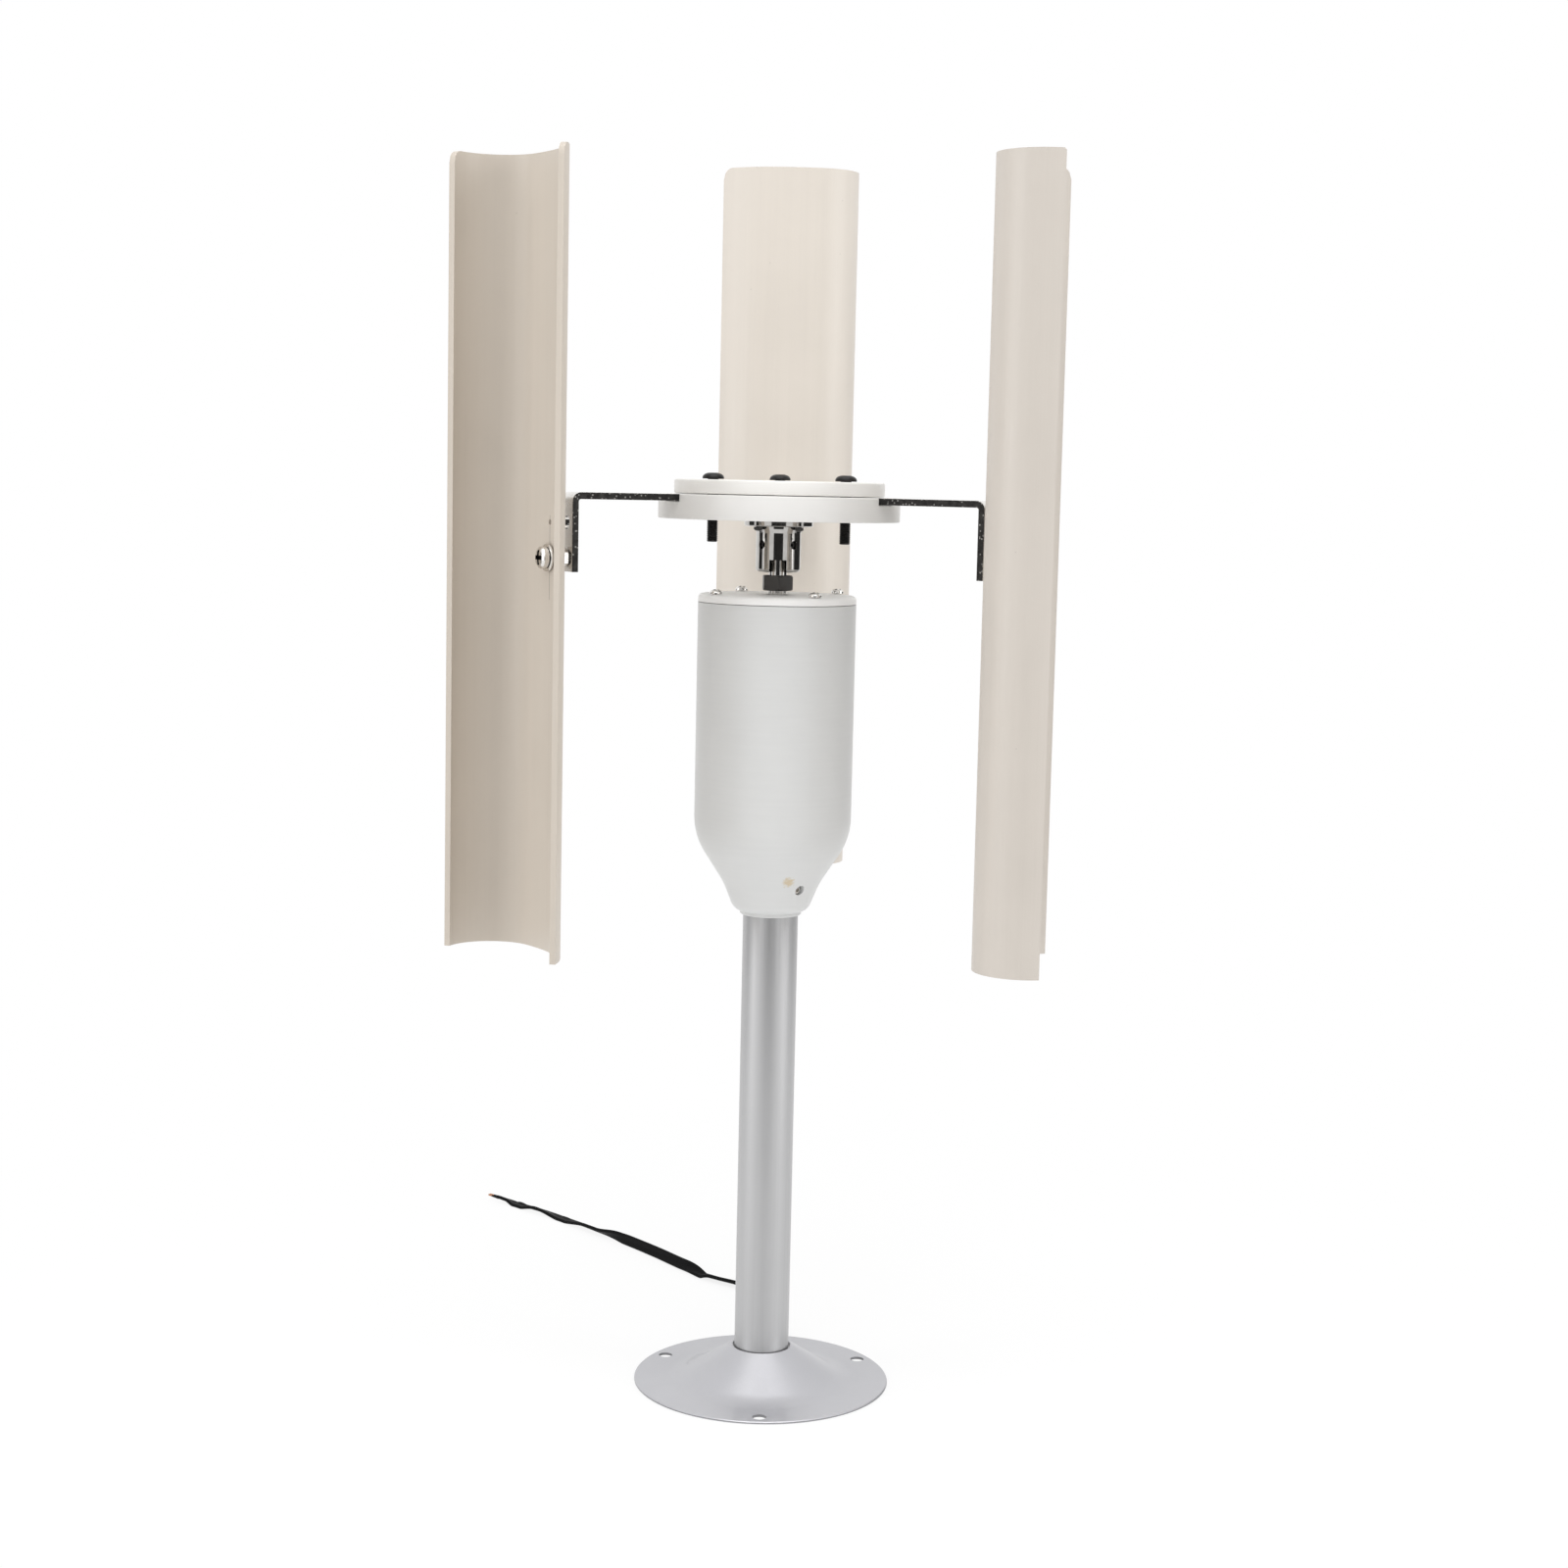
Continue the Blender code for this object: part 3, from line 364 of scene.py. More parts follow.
def drawn_lines_group():
    """Long fine lines along Z, as drawing, extruding or brushing leaves."""
    group, given, put = new_group("Drawn Lines", [("Place", "Vector", None), ("Across", "Float", 900.0),
                                                  ("Along", "Float", 12.0)], [("Lines", "Float")])
    place = stretched(group, given["Place"], given["Across"], given["Along"])
    group.links.new(spread(group, noise(group, place, 1.0, 3.0, 0.6), 0.3, 0.7), put["Lines"])
    return group


def soft_mottle_group():
    """Large soft clouds of tone."""
    group, given, put = new_group("Soft Mottle", [("Place", "Vector", None), ("Scale", "Float", 30.0)],
                                  [("Clouds", "Float")])
    group.links.new(spread(group, noise(group, given["Place"], given["Scale"], 4.0, 0.55, 0.4), 0.3, 0.7),
                    put["Clouds"])
    return group


def fine_grain_group():
    """Small even grain, as in moulded plastic, paint or plating."""
    group, given, put = new_group("Fine Grain", [("Place", "Vector", None), ("Scale", "Float", 2500.0)],
                                  [("Grain", "Float")])
    group.links.new(spread(group, noise(group, given["Place"], given["Scale"], 2.0, 0.5), 0.3, 0.7),
                    put["Grain"])
    return group


def small_specks_group():
    """Scattered specks and pits."""
    group, given, put = new_group("Small Specks", [("Place", "Vector", None), ("Scale", "Float", 300.0),
                                                   ("Share", "Float", 0.12)], [("Specks", "Float")])
    cells = group.nodes.new("ShaderNodeTexVoronoi")
    group.links.new(given["Place"], cells.inputs["Vector"])
    group.links.new(given["Scale"], cells.inputs["Scale"])
    group.links.new(math_node(group, "LESS_THAN", cells.outputs["Distance"], given["Share"]), put["Specks"])
    return group


def turned_rings_group():
    """Fine rings round the Z axis, as turning leaves."""
    group, given, put = new_group("Turned Rings", [("Place", "Vector", None), ("Pitch", "Float", 0.0004)],
                                  [("Rings", "Float")])
    x, y, z = apart(group, given["Place"])
    squares = math_node(group, "ADD", math_node(group, "POWER", x, 2.0), math_node(group, "POWER", y, 2.0))
    reach = math_node(group, "ADD", math_node(group, "SQRT", squares), z)
    turns = math_node(group, "MULTIPLY", math_node(group, "DIVIDE", reach, given["Pitch"]), 2 * pi)
    group.links.new(spread(group, math_node(group, "SINE", turns), -1.0, 1.0), put["Rings"])
    return group


GROUP_MAKERS = {"Drawn Lines": drawn_lines_group, "Soft Mottle": soft_mottle_group,
                "Fine Grain": fine_grain_group, "Small Specks": small_specks_group,
                "Turned Rings": turned_rings_group}


# ---------------------------------------------------------------- finishes

class Finish:
    """One material under way: its tree, its shader and the place on the object."""

    def __init__(self, name, base, roughness, metallic=0.0, coat=0.0, sheen=0.5):
        self.material = bpy.data.materials.new(name)
        self.material.use_nodes = True
        self.tree = self.material.node_tree
        self.shader = self.tree.nodes["Principled BSDF"]
        self.base = (*base, 1.0)
        set_inputs(self.shader, Base_Color=self.base, Roughness=roughness, Metallic=metallic,
                   Coat_Weight=coat, Specular_IOR_Level=sheen)
        self.material.diffuse_color = self.base
        self.place = self.tree.nodes.new("ShaderNodeTexCoord").outputs["Object"]
        self.colour = None
        self.heights = []

    def effect(self, name, **values):
        """Places a shared node group and returns its first output."""
        group = bpy.data.node_groups.get(name) or GROUP_MAKERS[name]()
        node = self.tree.nodes.new("ShaderNodeGroup")
        node.node_tree = group
        self.tree.links.new(self.place, node.inputs["Place"])
        set_inputs(node, **values)
        return node.outputs[0]

    def lines(self, across, along):
        return self.effect("Drawn Lines", Across=across, Along=along)

    def clouds(self, scale):
        return self.effect("Soft Mottle", Scale=scale)

    def grain(self, scale):
        return self.effect("Fine Grain", Scale=scale)

    def specks(self, scale, share):
        return self.effect("Small Specks", Scale=scale, Share=share)

    def rings(self, pitch):
        return self.effect("Turned Rings", Pitch=pitch)

    def tint(self, mask, tone, amount=1.0):
        """Lays another tone over the base colour where the mask is bright."""
        mix = self.tree.nodes.new("ShaderNodeMix")
        mix.data_type = "RGBA"
        share = math_node(self.tree, "MULTIPLY", mask, amount)
        self.tree.links.new(share, mix.inputs["Factor"])
        if self.colour is None:
            mix.inputs["A"].default_value = self.base
        else:
            self.tree.links.new(self.colour, mix.inputs["A"])
        mix.inputs["B"].default_value = (*tone, 1.0)
        self.colour = mix.outputs["Result"]
        self.tree.links.new(self.colour, self.shader.inputs["Base Color"])
        return self

    def gloss(self, mask, low, high):
        """Roughness from low to high over the mask."""
        rough = spread(self.tree, mask, start=low, end=high)
        self.tree.links.new(rough, self.shader.inputs["Roughness"])
        return self

    def relief(self, mask, depth):
        """Adds a height in metres to the surface."""
        self.heights.append(math_node(self.tree, "MULTIPLY", mask, depth))
        return self

    def done(self):
        if self.heights:
            total = self.heights[0]
            for height in self.heights[1:]:
                total = math_node(self.tree, "ADD", total, height)
            bump = self.tree.nodes.new("ShaderNodeBump")
            bump.inputs["Distance"].default_value = 1.0
            self.tree.links.new(total, bump.inputs["Height"])
            self.tree.links.new(bump.outputs["Normal"], self.shader.inputs["Normal"])
        return self.material


def toned(base, factor):
    return tuple(part * factor for part in base)


def blade_plastic(name, base, marked=False):
    """Extruded ivory plastic. The marked one carries the fitter's pencil line across its screw."""
    made = Finish(name, base, 0.42)
    streaks = made.lines(260.0, 5.0)
    clouds = made.clouds(22.0)
    grain = made.grain(1800.0)
    specks = made.specks(70.0, 0.025)
    made.tint(streaks, toned(base, 0.92), 0.35).tint(clouds, toned(base, 1.06), 0.4)
    made.tint(specks, toned(base, 0.65), 0.35)
    if marked:
        made.tint(pencil_line(made), toned(base, 0.3), 0.75)
    return made.gloss(clouds, 0.36, 0.50).relief(streaks, 0.00004).relief(grain, 0.00001).done()


def pencil_line(made):
    """A thin upright mark over and under the left blade's screw."""
    tree = made.tree
    x, y, z = apart(tree, made.place)
    turn = radians(ARM_ANGLES[1] + 90)
    sideways = math_node(tree, "ADD", math_node(tree, "MULTIPLY", x, cos(turn)),
                         math_node(tree, "MULTIPLY", y, sin(turn)))
    near = math_node(tree, "LESS_THAN", math_node(tree, "ABSOLUTE", sideways), PENCIL_HALF_WIDTH)
    above = math_node(tree, "GREATER_THAN", z, PENCIL_BOTTOM)
    below = math_node(tree, "LESS_THAN", z, PENCIL_TOP)
    return math_node(tree, "MULTIPLY", near, math_node(tree, "MULTIPLY", above, below))


def housing_plastic(name, base):
    made = Finish(name, base, 0.45)
    clouds = made.clouds(28.0)
    grain = made.grain(2200.0)
    scuffs = made.lines(35.0, 700.0)
    specks = made.specks(90.0, 0.02)
    made.tint(clouds, toned(base, 1.07), 0.5).tint(scuffs, toned(base, 0.9), 0.16)
    made.tint(specks, (0.42, 0.41, 0.38), 0.35).tint(glue_mark(made), (0.60, 0.46, 0.24), 0.7)
    return made.gloss(clouds, 0.38, 0.52).relief(grain, 0.000012).relief(clouds, 0.00012).done()


def glue_mark(made):
    """A small yellowed smear beside the neck's set screw."""
    away = made.tree.nodes.new("ShaderNodeVectorMath")
    away.operation = "DISTANCE"
    away.inputs[1].default_value = at_polar(GLUE_ANGLE, GLUE_REACH) @ Vector((0, 0, GLUE_HEIGHT))
    made.tree.links.new(made.place, away.inputs[0])
    ragged = math_node(made.tree, "MULTIPLY", noise(made.tree, made.place, 700.0, 3.0), GLUE_RAGGED)
    edge = math_node(made.tree, "ADD", away.outputs["Value"], ragged)
    return spread(made.tree, edge, GLUE_INNER_EDGE, GLUE_OUTER_EDGE, 1.0, 0.0)


def disc_plastic(name, base):
    made = Finish(name, base, 0.40)
    clouds = made.clouds(35.0)
    rings = made.rings(0.7 * MM)
    grain = made.grain(1600.0)
    made.tint(clouds, toned(base, 0.94), 0.4).tint(rings, toned(base, 0.94), 0.2)
    return made.gloss(grain, 0.34, 0.46).relief(rings, 0.000012).relief(grain, 0.00001).done()


def silver_paint():
    made = Finish("silver paint", colours().silver, 0.36, 0.55, 0.25)
    flakes = made.grain(6000.0)
    clouds = made.clouds(40.0)
    orange_peel = made.grain(420.0)
    made.tint(flakes, (0.56, 0.56, 0.58), 0.5).tint(clouds, (0.44, 0.44, 0.47), 0.35)
    return made.gloss(flakes, 0.30, 0.42).relief(orange_peel, 0.00002).relief(flakes, 0.000003).done()


def silver_shaded_edge():
    """The pressed base's sheared rim and hole walls, darkened as painted shade."""
    made = Finish("silver paint with painted shade", (0.20, 0.20, 0.21), 0.5, 0.5)
    clouds = made.clouds(350.0)
    made.tint(clouds, (0.33, 0.33, 0.34), 0.6)
    return made.gloss(clouds, 0.4, 0.6).relief(clouds, 0.00002).done()


def tube_metal():
    made = Finish("satin tube metal", colours().tube, 0.36, 0.85)
    lines = made.lines(1400.0, 9.0)
    clouds = made.clouds(25.0)
    grain = made.grain(3500.0)
    made.tint(lines, (0.44, 0.44, 0.445), 0.4).tint(clouds, (0.54, 0.54, 0.545), 0.3)
    return made.gloss(lines, 0.31, 0.43).relief(lines, 0.000006).relief(grain, 0.000003).done()


def plated_steel():
    base = colours().steel
    made = Finish("bright plated steel", base, 0.20, 1.0)
    lines = made.grain(900.0)
    clouds = made.clouds(160.0)
    specks = made.specks(420.0, 0.10)
    made.tint(clouds, toned(base, 0.75), 0.35).tint(specks, toned(base, 0.35), 0.4)
    return made.gloss(clouds, 0.14, 0.30).relief(lines, 0.000006).relief(specks, -0.00001).done()


def sheared_edge():
    """The rough cut side of a bracket bar: dark, pitted and streaked."""
    made = Finish("sheared bar edge", (0.028, 0.027, 0.025), 0.45, 0.5, sheen=0.2)
    specks = made.specks(620.0, 0.24)
    clouds = made.clouds(420.0)
    made.tint(clouds, (0.012, 0.011, 0.011), 0.9).tint(specks, (0.42, 0.41, 0.39), 0.45)
    return made.gloss(clouds, 0.35, 0.62).relief(clouds, 0.00006).done()


def turned_steel():
    base = colours().steel
    made = Finish("turned bright steel", toned(base, 0.62), 0.10, 1.0)
    rings = made.rings(0.35 * MM)
    clouds = made.clouds(240.0)
    made.tint(clouds, toned(base, 0.42), 0.5)
    return made.gloss(clouds, 0.05, 0.11).relief(rings, 0.000002).done()


def blackened(name, base, tone, low, high, **look):
    """Oiled or oxidised steel: an even grain, clouded by a paler tone."""
    made = Finish(name, base, 0.34, **look)
    grain, clouds = made.grain(2600.0), made.clouds(300.0)
    return made.tint(clouds, tone, 0.5).gloss(grain, low, high).relief(grain, 0.000006).done()


def black_steel():
    return blackened("blackened steel", colours().dark, (0.075, 0.07, 0.066), 0.28, 0.42, metallic=0.6)


def black_oxide():
    """Black oxide on the clamp bolts."""
    return blackened("black oxide", (0.007, 0.007, 0.007), (0.022, 0.020, 0.019), 0.26, 0.40, sheen=0.25)


def cord_rubber():
    made = Finish("black cord sheath", colours().cord, 0.5, sheen=0.06)
    grain = made.grain(1500.0)
    clouds = made.clouds(120.0)
    made.tint(clouds, (0.007, 0.007, 0.007), 0.6)
    return made.gloss(clouds, 0.40, 0.56).relief(grain, 0.00001).done()


def copper_wire():
    made = Finish("copper wire", (0.50, 0.24, 0.13), 0.35, 1.0)
    strands = made.lines(2200.0, 500.0)
    made.tint(strands, (0.45, 0.18, 0.08), 0.5)
    return made.gloss(strands, 0.24, 0.42).relief(strands, 0.00003).done()


def cast_metal():
    made = Finish("cast aluminium", (0.60, 0.61, 0.62), 0.4, 1.0)
    grain = made.grain(1300.0)
    clouds = made.clouds(90.0)
    made.tint(clouds, (0.50, 0.51, 0.52), 0.4)
    return made.gloss(grain, 0.32, 0.5).relief(grain, 0.00002).done()


def magnet_grey():
    made = Finish("sintered magnet", (0.06, 0.06, 0.065), 0.55, 0.3)
    grain = made.grain(1700.0)
    made.tint(grain, (0.10, 0.10, 0.105), 0.5)
    return made.gloss(grain, 0.45, 0.65).relief(grain, 0.00002).done()


def laminated_iron():
    made = Finish("laminated iron", (0.22, 0.22, 0.225), 0.42, 0.9)
    sheets = made.lines(60.0, 2600.0)
    made.tint(sheets, (0.09, 0.09, 0.095), 0.7)
    return made.gloss(sheets, 0.34, 0.55).relief(sheets, 0.00003).done()


FINISH_MAKERS = {
    # The blades' base colours carry painted light and shade: lighter on the rear blade, darker on the left and
    # right blades
    "blade 1": lambda: blade_plastic("ivory plastic rear blade with painted light", colours().rear_blade_painted_light),
    "blade 2": lambda: blade_plastic("ivory plastic left blade with painted shade", colours().left_blade_painted_shade, True),
    "blade 3": lambda: blade_plastic("ivory plastic right blade with painted shade", colours().right_blade_painted_shade),
    "bolt": black_oxide,
    "housing": lambda: housing_plastic("white housing plastic", colours().white),
    "cover": lambda: housing_plastic("white cover plastic", colours().cover),
    "top disc": lambda: disc_plastic("white top disc plastic", colours().top_disc),
    "lower disc": lambda: disc_plastic("white lower disc plastic", colours().lower_disc),
    "silver": silver_paint, "silver shaded edge": silver_shaded_edge, "tube": tube_metal, "plated": plated_steel,
    "sheared": sheared_edge, "turned": turned_steel, "black steel": black_steel, "rubber": cord_rubber,
    "copper": copper_wire, "cast": cast_metal, "magnet": magnet_grey, "iron": laminated_iron,
}
finishes = {}


def finish_named(name):
    if name not in finishes:
        finishes[name] = FINISH_MAKERS[name]()
    return finishes[name]


# ---------------------------------------------------------------- shapes

def arc(centre, radius, start, end, steps):
    """Points of an arc in a plane, with its angles in degrees."""
    turns = [radians(start + (end - start) * i / steps) for i in range(steps + 1)]
    return [(centre[0] + radius * cos(a), centre[1] + radius * sin(a)) for a in turns]


def polygon(radius, sides, turn=0.0):
    return [(radius * cos(turn + 2 * pi * i / sides), radius * sin(turn + 2 * pi * i / sides))
            for i in range(sides)]


def mesh_of(name, bm, smooth=SMOOTH_ANGLE):
    """Makes an object from a bmesh, smooth except at its sharp edges."""
    bmesh.ops.recalc_face_normals(bm, faces=bm.faces)
    mesh = bpy.data.meshes.new(name)
    bm.to_mesh(mesh)
    bm.free()
    made = bpy.data.objects.new(name, mesh)
    bpy.context.scene.collection.objects.link(made)
    shade(made, smooth)
    return made


def shade(made, smooth=SMOOTH_ANGLE):
    for face in made.data.polygons:
        face.use_smooth = True
    made.data.set_sharp_from_angle(angle=radians(smooth))


def skin(bm, rings, capped=True):
    """Joins each ring of vertices to the next, and caps the two ends or joins them to each other."""
    following = rings[1:] if capped else rings[1:] + rings[:1]
    for ring, other in zip(rings, following):
        for i in range(len(ring)):
            bm.faces.new([ring[i], ring[i - 1], other[i - 1], other[i]])
    if capped:
        bm.faces.new(rings[0])
        bm.faces.new(rings[-1][::-1])


def turned(name, profile, steps=None):
    """Turns an outline of (radius, height) points about Z: a closed one, or one from axis to axis."""
    steps = steps or sizes().round_steps
    solid = profile[0][0] == 0
    outline = profile[1:-1] if solid else profile
    bm = bmesh.new()
    rings = [[bm.verts.new((x, y, height)) for x, y in polygon(radius, steps)] for radius, height in outline]
    skin(bm, rings, capped=solid)
    return mesh_of(name, bm)


def prism(name, outline, bottom, top):
    """Extrudes a flat outline of (x, y) points from one height to another."""
    bm = bmesh.new()
    face = bm.faces.new([bm.verts.new((x, y, bottom)) for x, y in outline])
    grown = bmesh.ops.extrude_face_region(bm, geom=[face])
    ends = [v for v in grown["geom"] if isinstance(v, bmesh.types.BMVert)]
    bmesh.ops.translate(bm, verts=ends, vec=(0, 0, top - bottom))
    return mesh_of(name, bm)


def rod(radius, bottom, top, steps=SCREW_SIDES):
    return prism("tool", polygon(radius, steps, pi / steps), bottom, top)


def block(low, high):
    outline = [(low[0], low[1]), (high[0], low[1]), (high[0], high[1]), (low[0], high[1])]
    return prism("tool", outline, low[2], high[2])


def moved(thing, matrix):
    thing.data.transform(matrix)
    return thing


def turn_about_z(degrees):
    return Matrix.Rotation(radians(degrees), 4, "Z")


def outward(angle, height):
    """Takes a shape made along +Z at the origin to point outward at a compass angle and a height."""
    return lifted(height) @ turn_about_z(angle) @ Matrix.Rotation(pi / 2, 4, "Y")


def at_polar(angle, radius):
    return Matrix.Translation((radius * cos(radians(angle)), radius * sin(radians(angle)), 0))


def lifted(height):
    return Matrix.Translation((0, 0, height))


def combined(target, tools, operation):
    """Applies exact Booleans to the target and drops the tools."""
    for tool in tools:
        step = target.modifiers.new("boolean", "BOOLEAN")
        step.solver = "EXACT"
        step.operation = operation
        step.object = tool
        bpy.context.view_layer.update()
        shape = target.evaluated_get(bpy.context.evaluated_depsgraph_get())
        mesh = bpy.data.meshes.new_from_object(shape)
        target.modifiers.clear()
        target.data = mesh
        bpy.data.objects.remove(tool, do_unlink=True)
    shade(target)
    return target


def cut(target, *tools):
    return combined(target, tools, "DIFFERENCE")


def soften(made, width, segments=2):
    """Rounds the piece's sharp edges and keeps its faces flat."""
    bevel = made.modifiers.new("softened edges", "BEVEL")
    bevel.width = width
    bevel.segments = segments
    bevel.limit_method = "ANGLE"
    bevel.angle_limit = radians(ROUNDED_ANGLE)
    bevel.harden_normals = True
    bevel.use_clamp_overlap = True
    bevel.miter_outer = "MITER_ARC"
    return made


def show(made, body, slot, finish, *replaced, second="bolt"):
    """Finishes a piece, sets it on its body and hides the CAD nodes that it stands for."""
    # Faces marked 1 take the second finish. Its default, black oxide, fills the screws' cross recesses as
    # painted shade
    marked = [face.material_index for face in made.data.polygons]
    made.data.materials.clear()
    made.data.materials.append(finish_named(finish))
    if max(marked):
        made.data.materials.append(finish_named(second))
    for face, index in zip(made.data.polygons, marked):
        face.material_index = index
    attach(made, body)
    if replaced:
        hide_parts(*replaced)
    return made


def refinish(node, finish):
    """Gives a CAD node its finish, and smooth shading across its round faces."""
    thing = NODES[node]
    thing.data.materials.clear()
    thing.data.materials.append(finish_named(finish))
    for name in ("custom_normal", "sharp_face", "sharp_edge"):
        attribute = thing.data.attributes.get(name)
        if attribute:
            thing.data.attributes.remove(attribute)
    for face in thing.data.polygons:
        face.use_smooth = True
    weld = thing.modifiers.new("joined corners", "WELD")
    weld.merge_threshold = 0.01 * MM
    split = thing.modifiers.new("crisp edges", "EDGE_SPLIT")
    split.split_angle = radians(SMOOTH_ANGLE)
    return thing


# ---------------------------------------------------------------- stand

def base_flange():
    """The pressed base: flat rim, foot bend, cone and collar."""
    low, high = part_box("base_flange")
    rim, edge = high.x, FLANGE_SHEET / 3

    def side(offset):
        centre = (FLANGE_FLAT_RADIUS, FLANGE_SHEET + FLANGE_FOOT_BEND)
        bend = arc(centre, FLANGE_FOOT_BEND + offset, -90, -90 - degrees(FLANGE_CONE_SLOPE), 14)
        radius, height = bend[-1]
        collar = height + (radius - FLANGE_COLLAR_RADIUS) * tan(FLANGE_CONE_SLOPE)
        return [*bend, (FLANGE_COLLAR_RADIUS, collar)]

    *top, (_, collar) = side(0)
    top += [(FLANGE_COLLAR_RADIUS + 0.5 * MM, collar - 0.32 * MM), (FLANGE_COLLAR_RADIUS, collar - 0.45 * MM)]
    profile = [(rim - edge, low.z), (rim, low.z + edge), (rim, FLANGE_SHEET - edge),
               (rim - edge, FLANGE_SHEET), *top, *reversed(side(FLANGE_SHEET))]
    made = turned("pressed_base", profile)
    holes = [moved(rod(FLANGE_HOLE_RADIUS, -2 * MM, 4 * MM), at_polar(a, FLANGE_HOLE_CIRCLE))
             for a in FLANGE_HOLE_ANGLES]
    cut(made, *holes)
    # The rim's side and the hole walls take the darker edge finish, which is painted shade
    for face in made.data.polygons:
        is_shaded_wall = abs(face.normal.z) < 0.3 and face.center.xy.length > FLANGE_FLAT_RADIUS
        face.material_index = int(is_shaded_wall)
    return soften(made, SHEET_ROUNDING, 1)


def mast_tube():
    low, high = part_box("mast_tube")
    bore = MAST_RADIUS - MAST_WALL
    made = turned("drawn_mast", [(bore, low.z), (MAST_RADIUS, low.z), (MAST_RADIUS, high.z), (bore, high.z)])
    return cut(made, moved(rod(CABLE_EXIT_RADIUS, 5 * MM, 20 * MM), outward(90, CABLE_EXIT_HEIGHT)))


# ---------------------------------------------------------------- cord

def smooth_route(points, count):
    """Evenly counted points on the smooth curve through the route's own points."""
    points = [Vector(p) for p in points]
    ends = [2 * points[0] - points[1], *points, 2 * points[-1] - points[-2]]
    spans = len(points) - 1
    route = []
    for step in range(count):
        place = min(step * spans / (count - 1), spans - 1e-9)
        k, t = int(place), place - int(place)
        before, start, end, after = ends[k:k + 4]
        squared, cubed = 2 * before - 5 * start + 4 * end - after, 3 * start - before - 3 * end + after
        route.append(0.5 * (2 * start + (end - before) * t + squared * t ** 2 + cubed * t ** 3))
    return route


def eased(table, share):
    """A smooth value at a share, from (share, value) pairs in order."""
    for (low, first), (high, second) in zip(table, table[1:]):
        if share <= high:
            t = (share - low) / (high - low)
            return first + (second - first) * t * t * (3 - 2 * t)
    return table[-1][1]


def twin_outline(width, thickness):
    """The flat twin cord across: two round cores joined by a thinner web."""
    core = thickness / 2
    centre = width / 2 - core
    half = [*arc((centre, 0), core, -115, 115, 10), (centre * 0.3, core * 0.72), (0, core * 0.62),
            (-centre * 0.3, core * 0.72)]
    return half + [(-x, -y) for x, y in half]


def cord_line(width, thickness):
    """The cord's centre points and roll, laid down onto the floor where it isn't on edge."""
    route = smooth_route(CORD_ROUTE, 300)
    along = [0.0]
    for here, there in zip(route, route[1:]):
        along.append(along[-1] + (there - here).length)
    line = []
    for point, distance in zip(route, along):
        roll = radians(eased(CORD_ROLL, distance / along[-1]))
        needed = width / 2 * abs(sin(roll)) + thickness / 2 * abs(cos(roll)) + 0.05 * MM
        spare = CORD_ROUTE[-1][2] - needed
        settle = min(1.0, max(0.0, (distance - CORD_SETTLE_START) / CORD_SETTLE_LENGTH))
        line.append((point - Vector((0, 0, spare * settle * settle * (3 - 2 * settle))), roll))
    return line


def sweep(name, line, outline):
    """Sweeps a closed outline along (point, roll) pairs, with a flat cap at each end."""
    bm = bmesh.new()
    rings = []
    for index, (point, roll) in enumerate(line):
        ahead = line[min(index + 1, len(line) - 1)][0] - line[max(index - 1, 0)][0]
        forward = ahead.normalized()
        side = forward.cross(Vector((0, 0, 1))).normalized()
        up = side.cross(forward)
        across, thick = side * cos(roll) + up * sin(roll), up * cos(roll) - side * sin(roll)
        rings.append([bm.verts.new(point + across * x + thick * y) for x, y in outline])
    skin(bm, rings)
    return mesh_of(name, bm, CORD_SMOOTH_ANGLE)


# ---------------------------------------------------------------- housing

def shoulder_line(offset, steps):
    centre = (HOUSING_RADIUS - SHOULDER_BEND, HOUSING_SHOULDER)
    shoulder = arc(centre, SHOULDER_BEND - offset, -33, 0, steps)
    hollow = arc(SHOULDER_HOLLOW_CENTRE, SHOULDER_HOLLOW_RADIUS + offset, 158, 147, steps // 3)
    return [*hollow, *shoulder]


def housing_shell():
    """The bottle-shaped housing, from its collar on the mast to its rim."""
    low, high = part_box("housing_shell")
    bore, side, mast_end = MAST_RADIUS + GAP, HOUSING_RADIUS - HOUSING_WALL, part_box("mast_tube")[1].z + 1 * MM
    lip = arc(NECK_LIP_CENTRE, NECK_LIP_RADIUS, -72, -22, 8)
    outside = [(bore, low.z), (NECK_RADIUS - 0.5 * MM, low.z), (NECK_RADIUS, low.z + 0.4 * MM),
               (NECK_RADIUS, NECK_TOP), *lip, *shoulder_line(0, 24), (HOUSING_RADIUS, high.z)]
    inside = [(SEAT_BORE, high.z), (SEAT_BORE, SEAT_BOTTOM), (side, SEAT_BOTTOM - 3 * MM),
              (side, CAVITY_BOTTOM), *reversed(shoulder_line(HOUSING_WALL, 9)), (SLEEVE_BORE, SLEEVE_TOP),
              (SLEEVE_BORE, mast_end), (bore, mast_end)]
    made = turned("housing_body", [*outside, *inside])
    cut(made, moved(rod(NECK_SCREW_HOLE, 10 * MM, 30 * MM), outward(NECK_SCREW_ANGLE, NECK_SCREW_HEIGHT)))
    return soften(made, HOUSING_ROUNDING)


def housing_cover():
    low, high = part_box("housing_cover")
    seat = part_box("housing_shell")[1].z + GAP
    edge = arc((HOUSING_RADIUS - COVER_ROUNDING, high.z - COVER_ROUNDING), COVER_ROUNDING, 0, 90, 8)
    profile = [(COVER_HOLE, seat), (COVER_LIP_BORE, seat), (COVER_LIP_BORE, low.z), (COVER_LIP_RADIUS, low.z),
               (COVER_LIP_RADIUS, seat), (HOUSING_RADIUS, seat), *edge, (COVER_HOLE + 0.4 * MM, high.z),
               (COVER_HOLE, high.z - 0.4 * MM)]
    return turned("housing_lid", profile)


# ---------------------------------------------------------------- screws

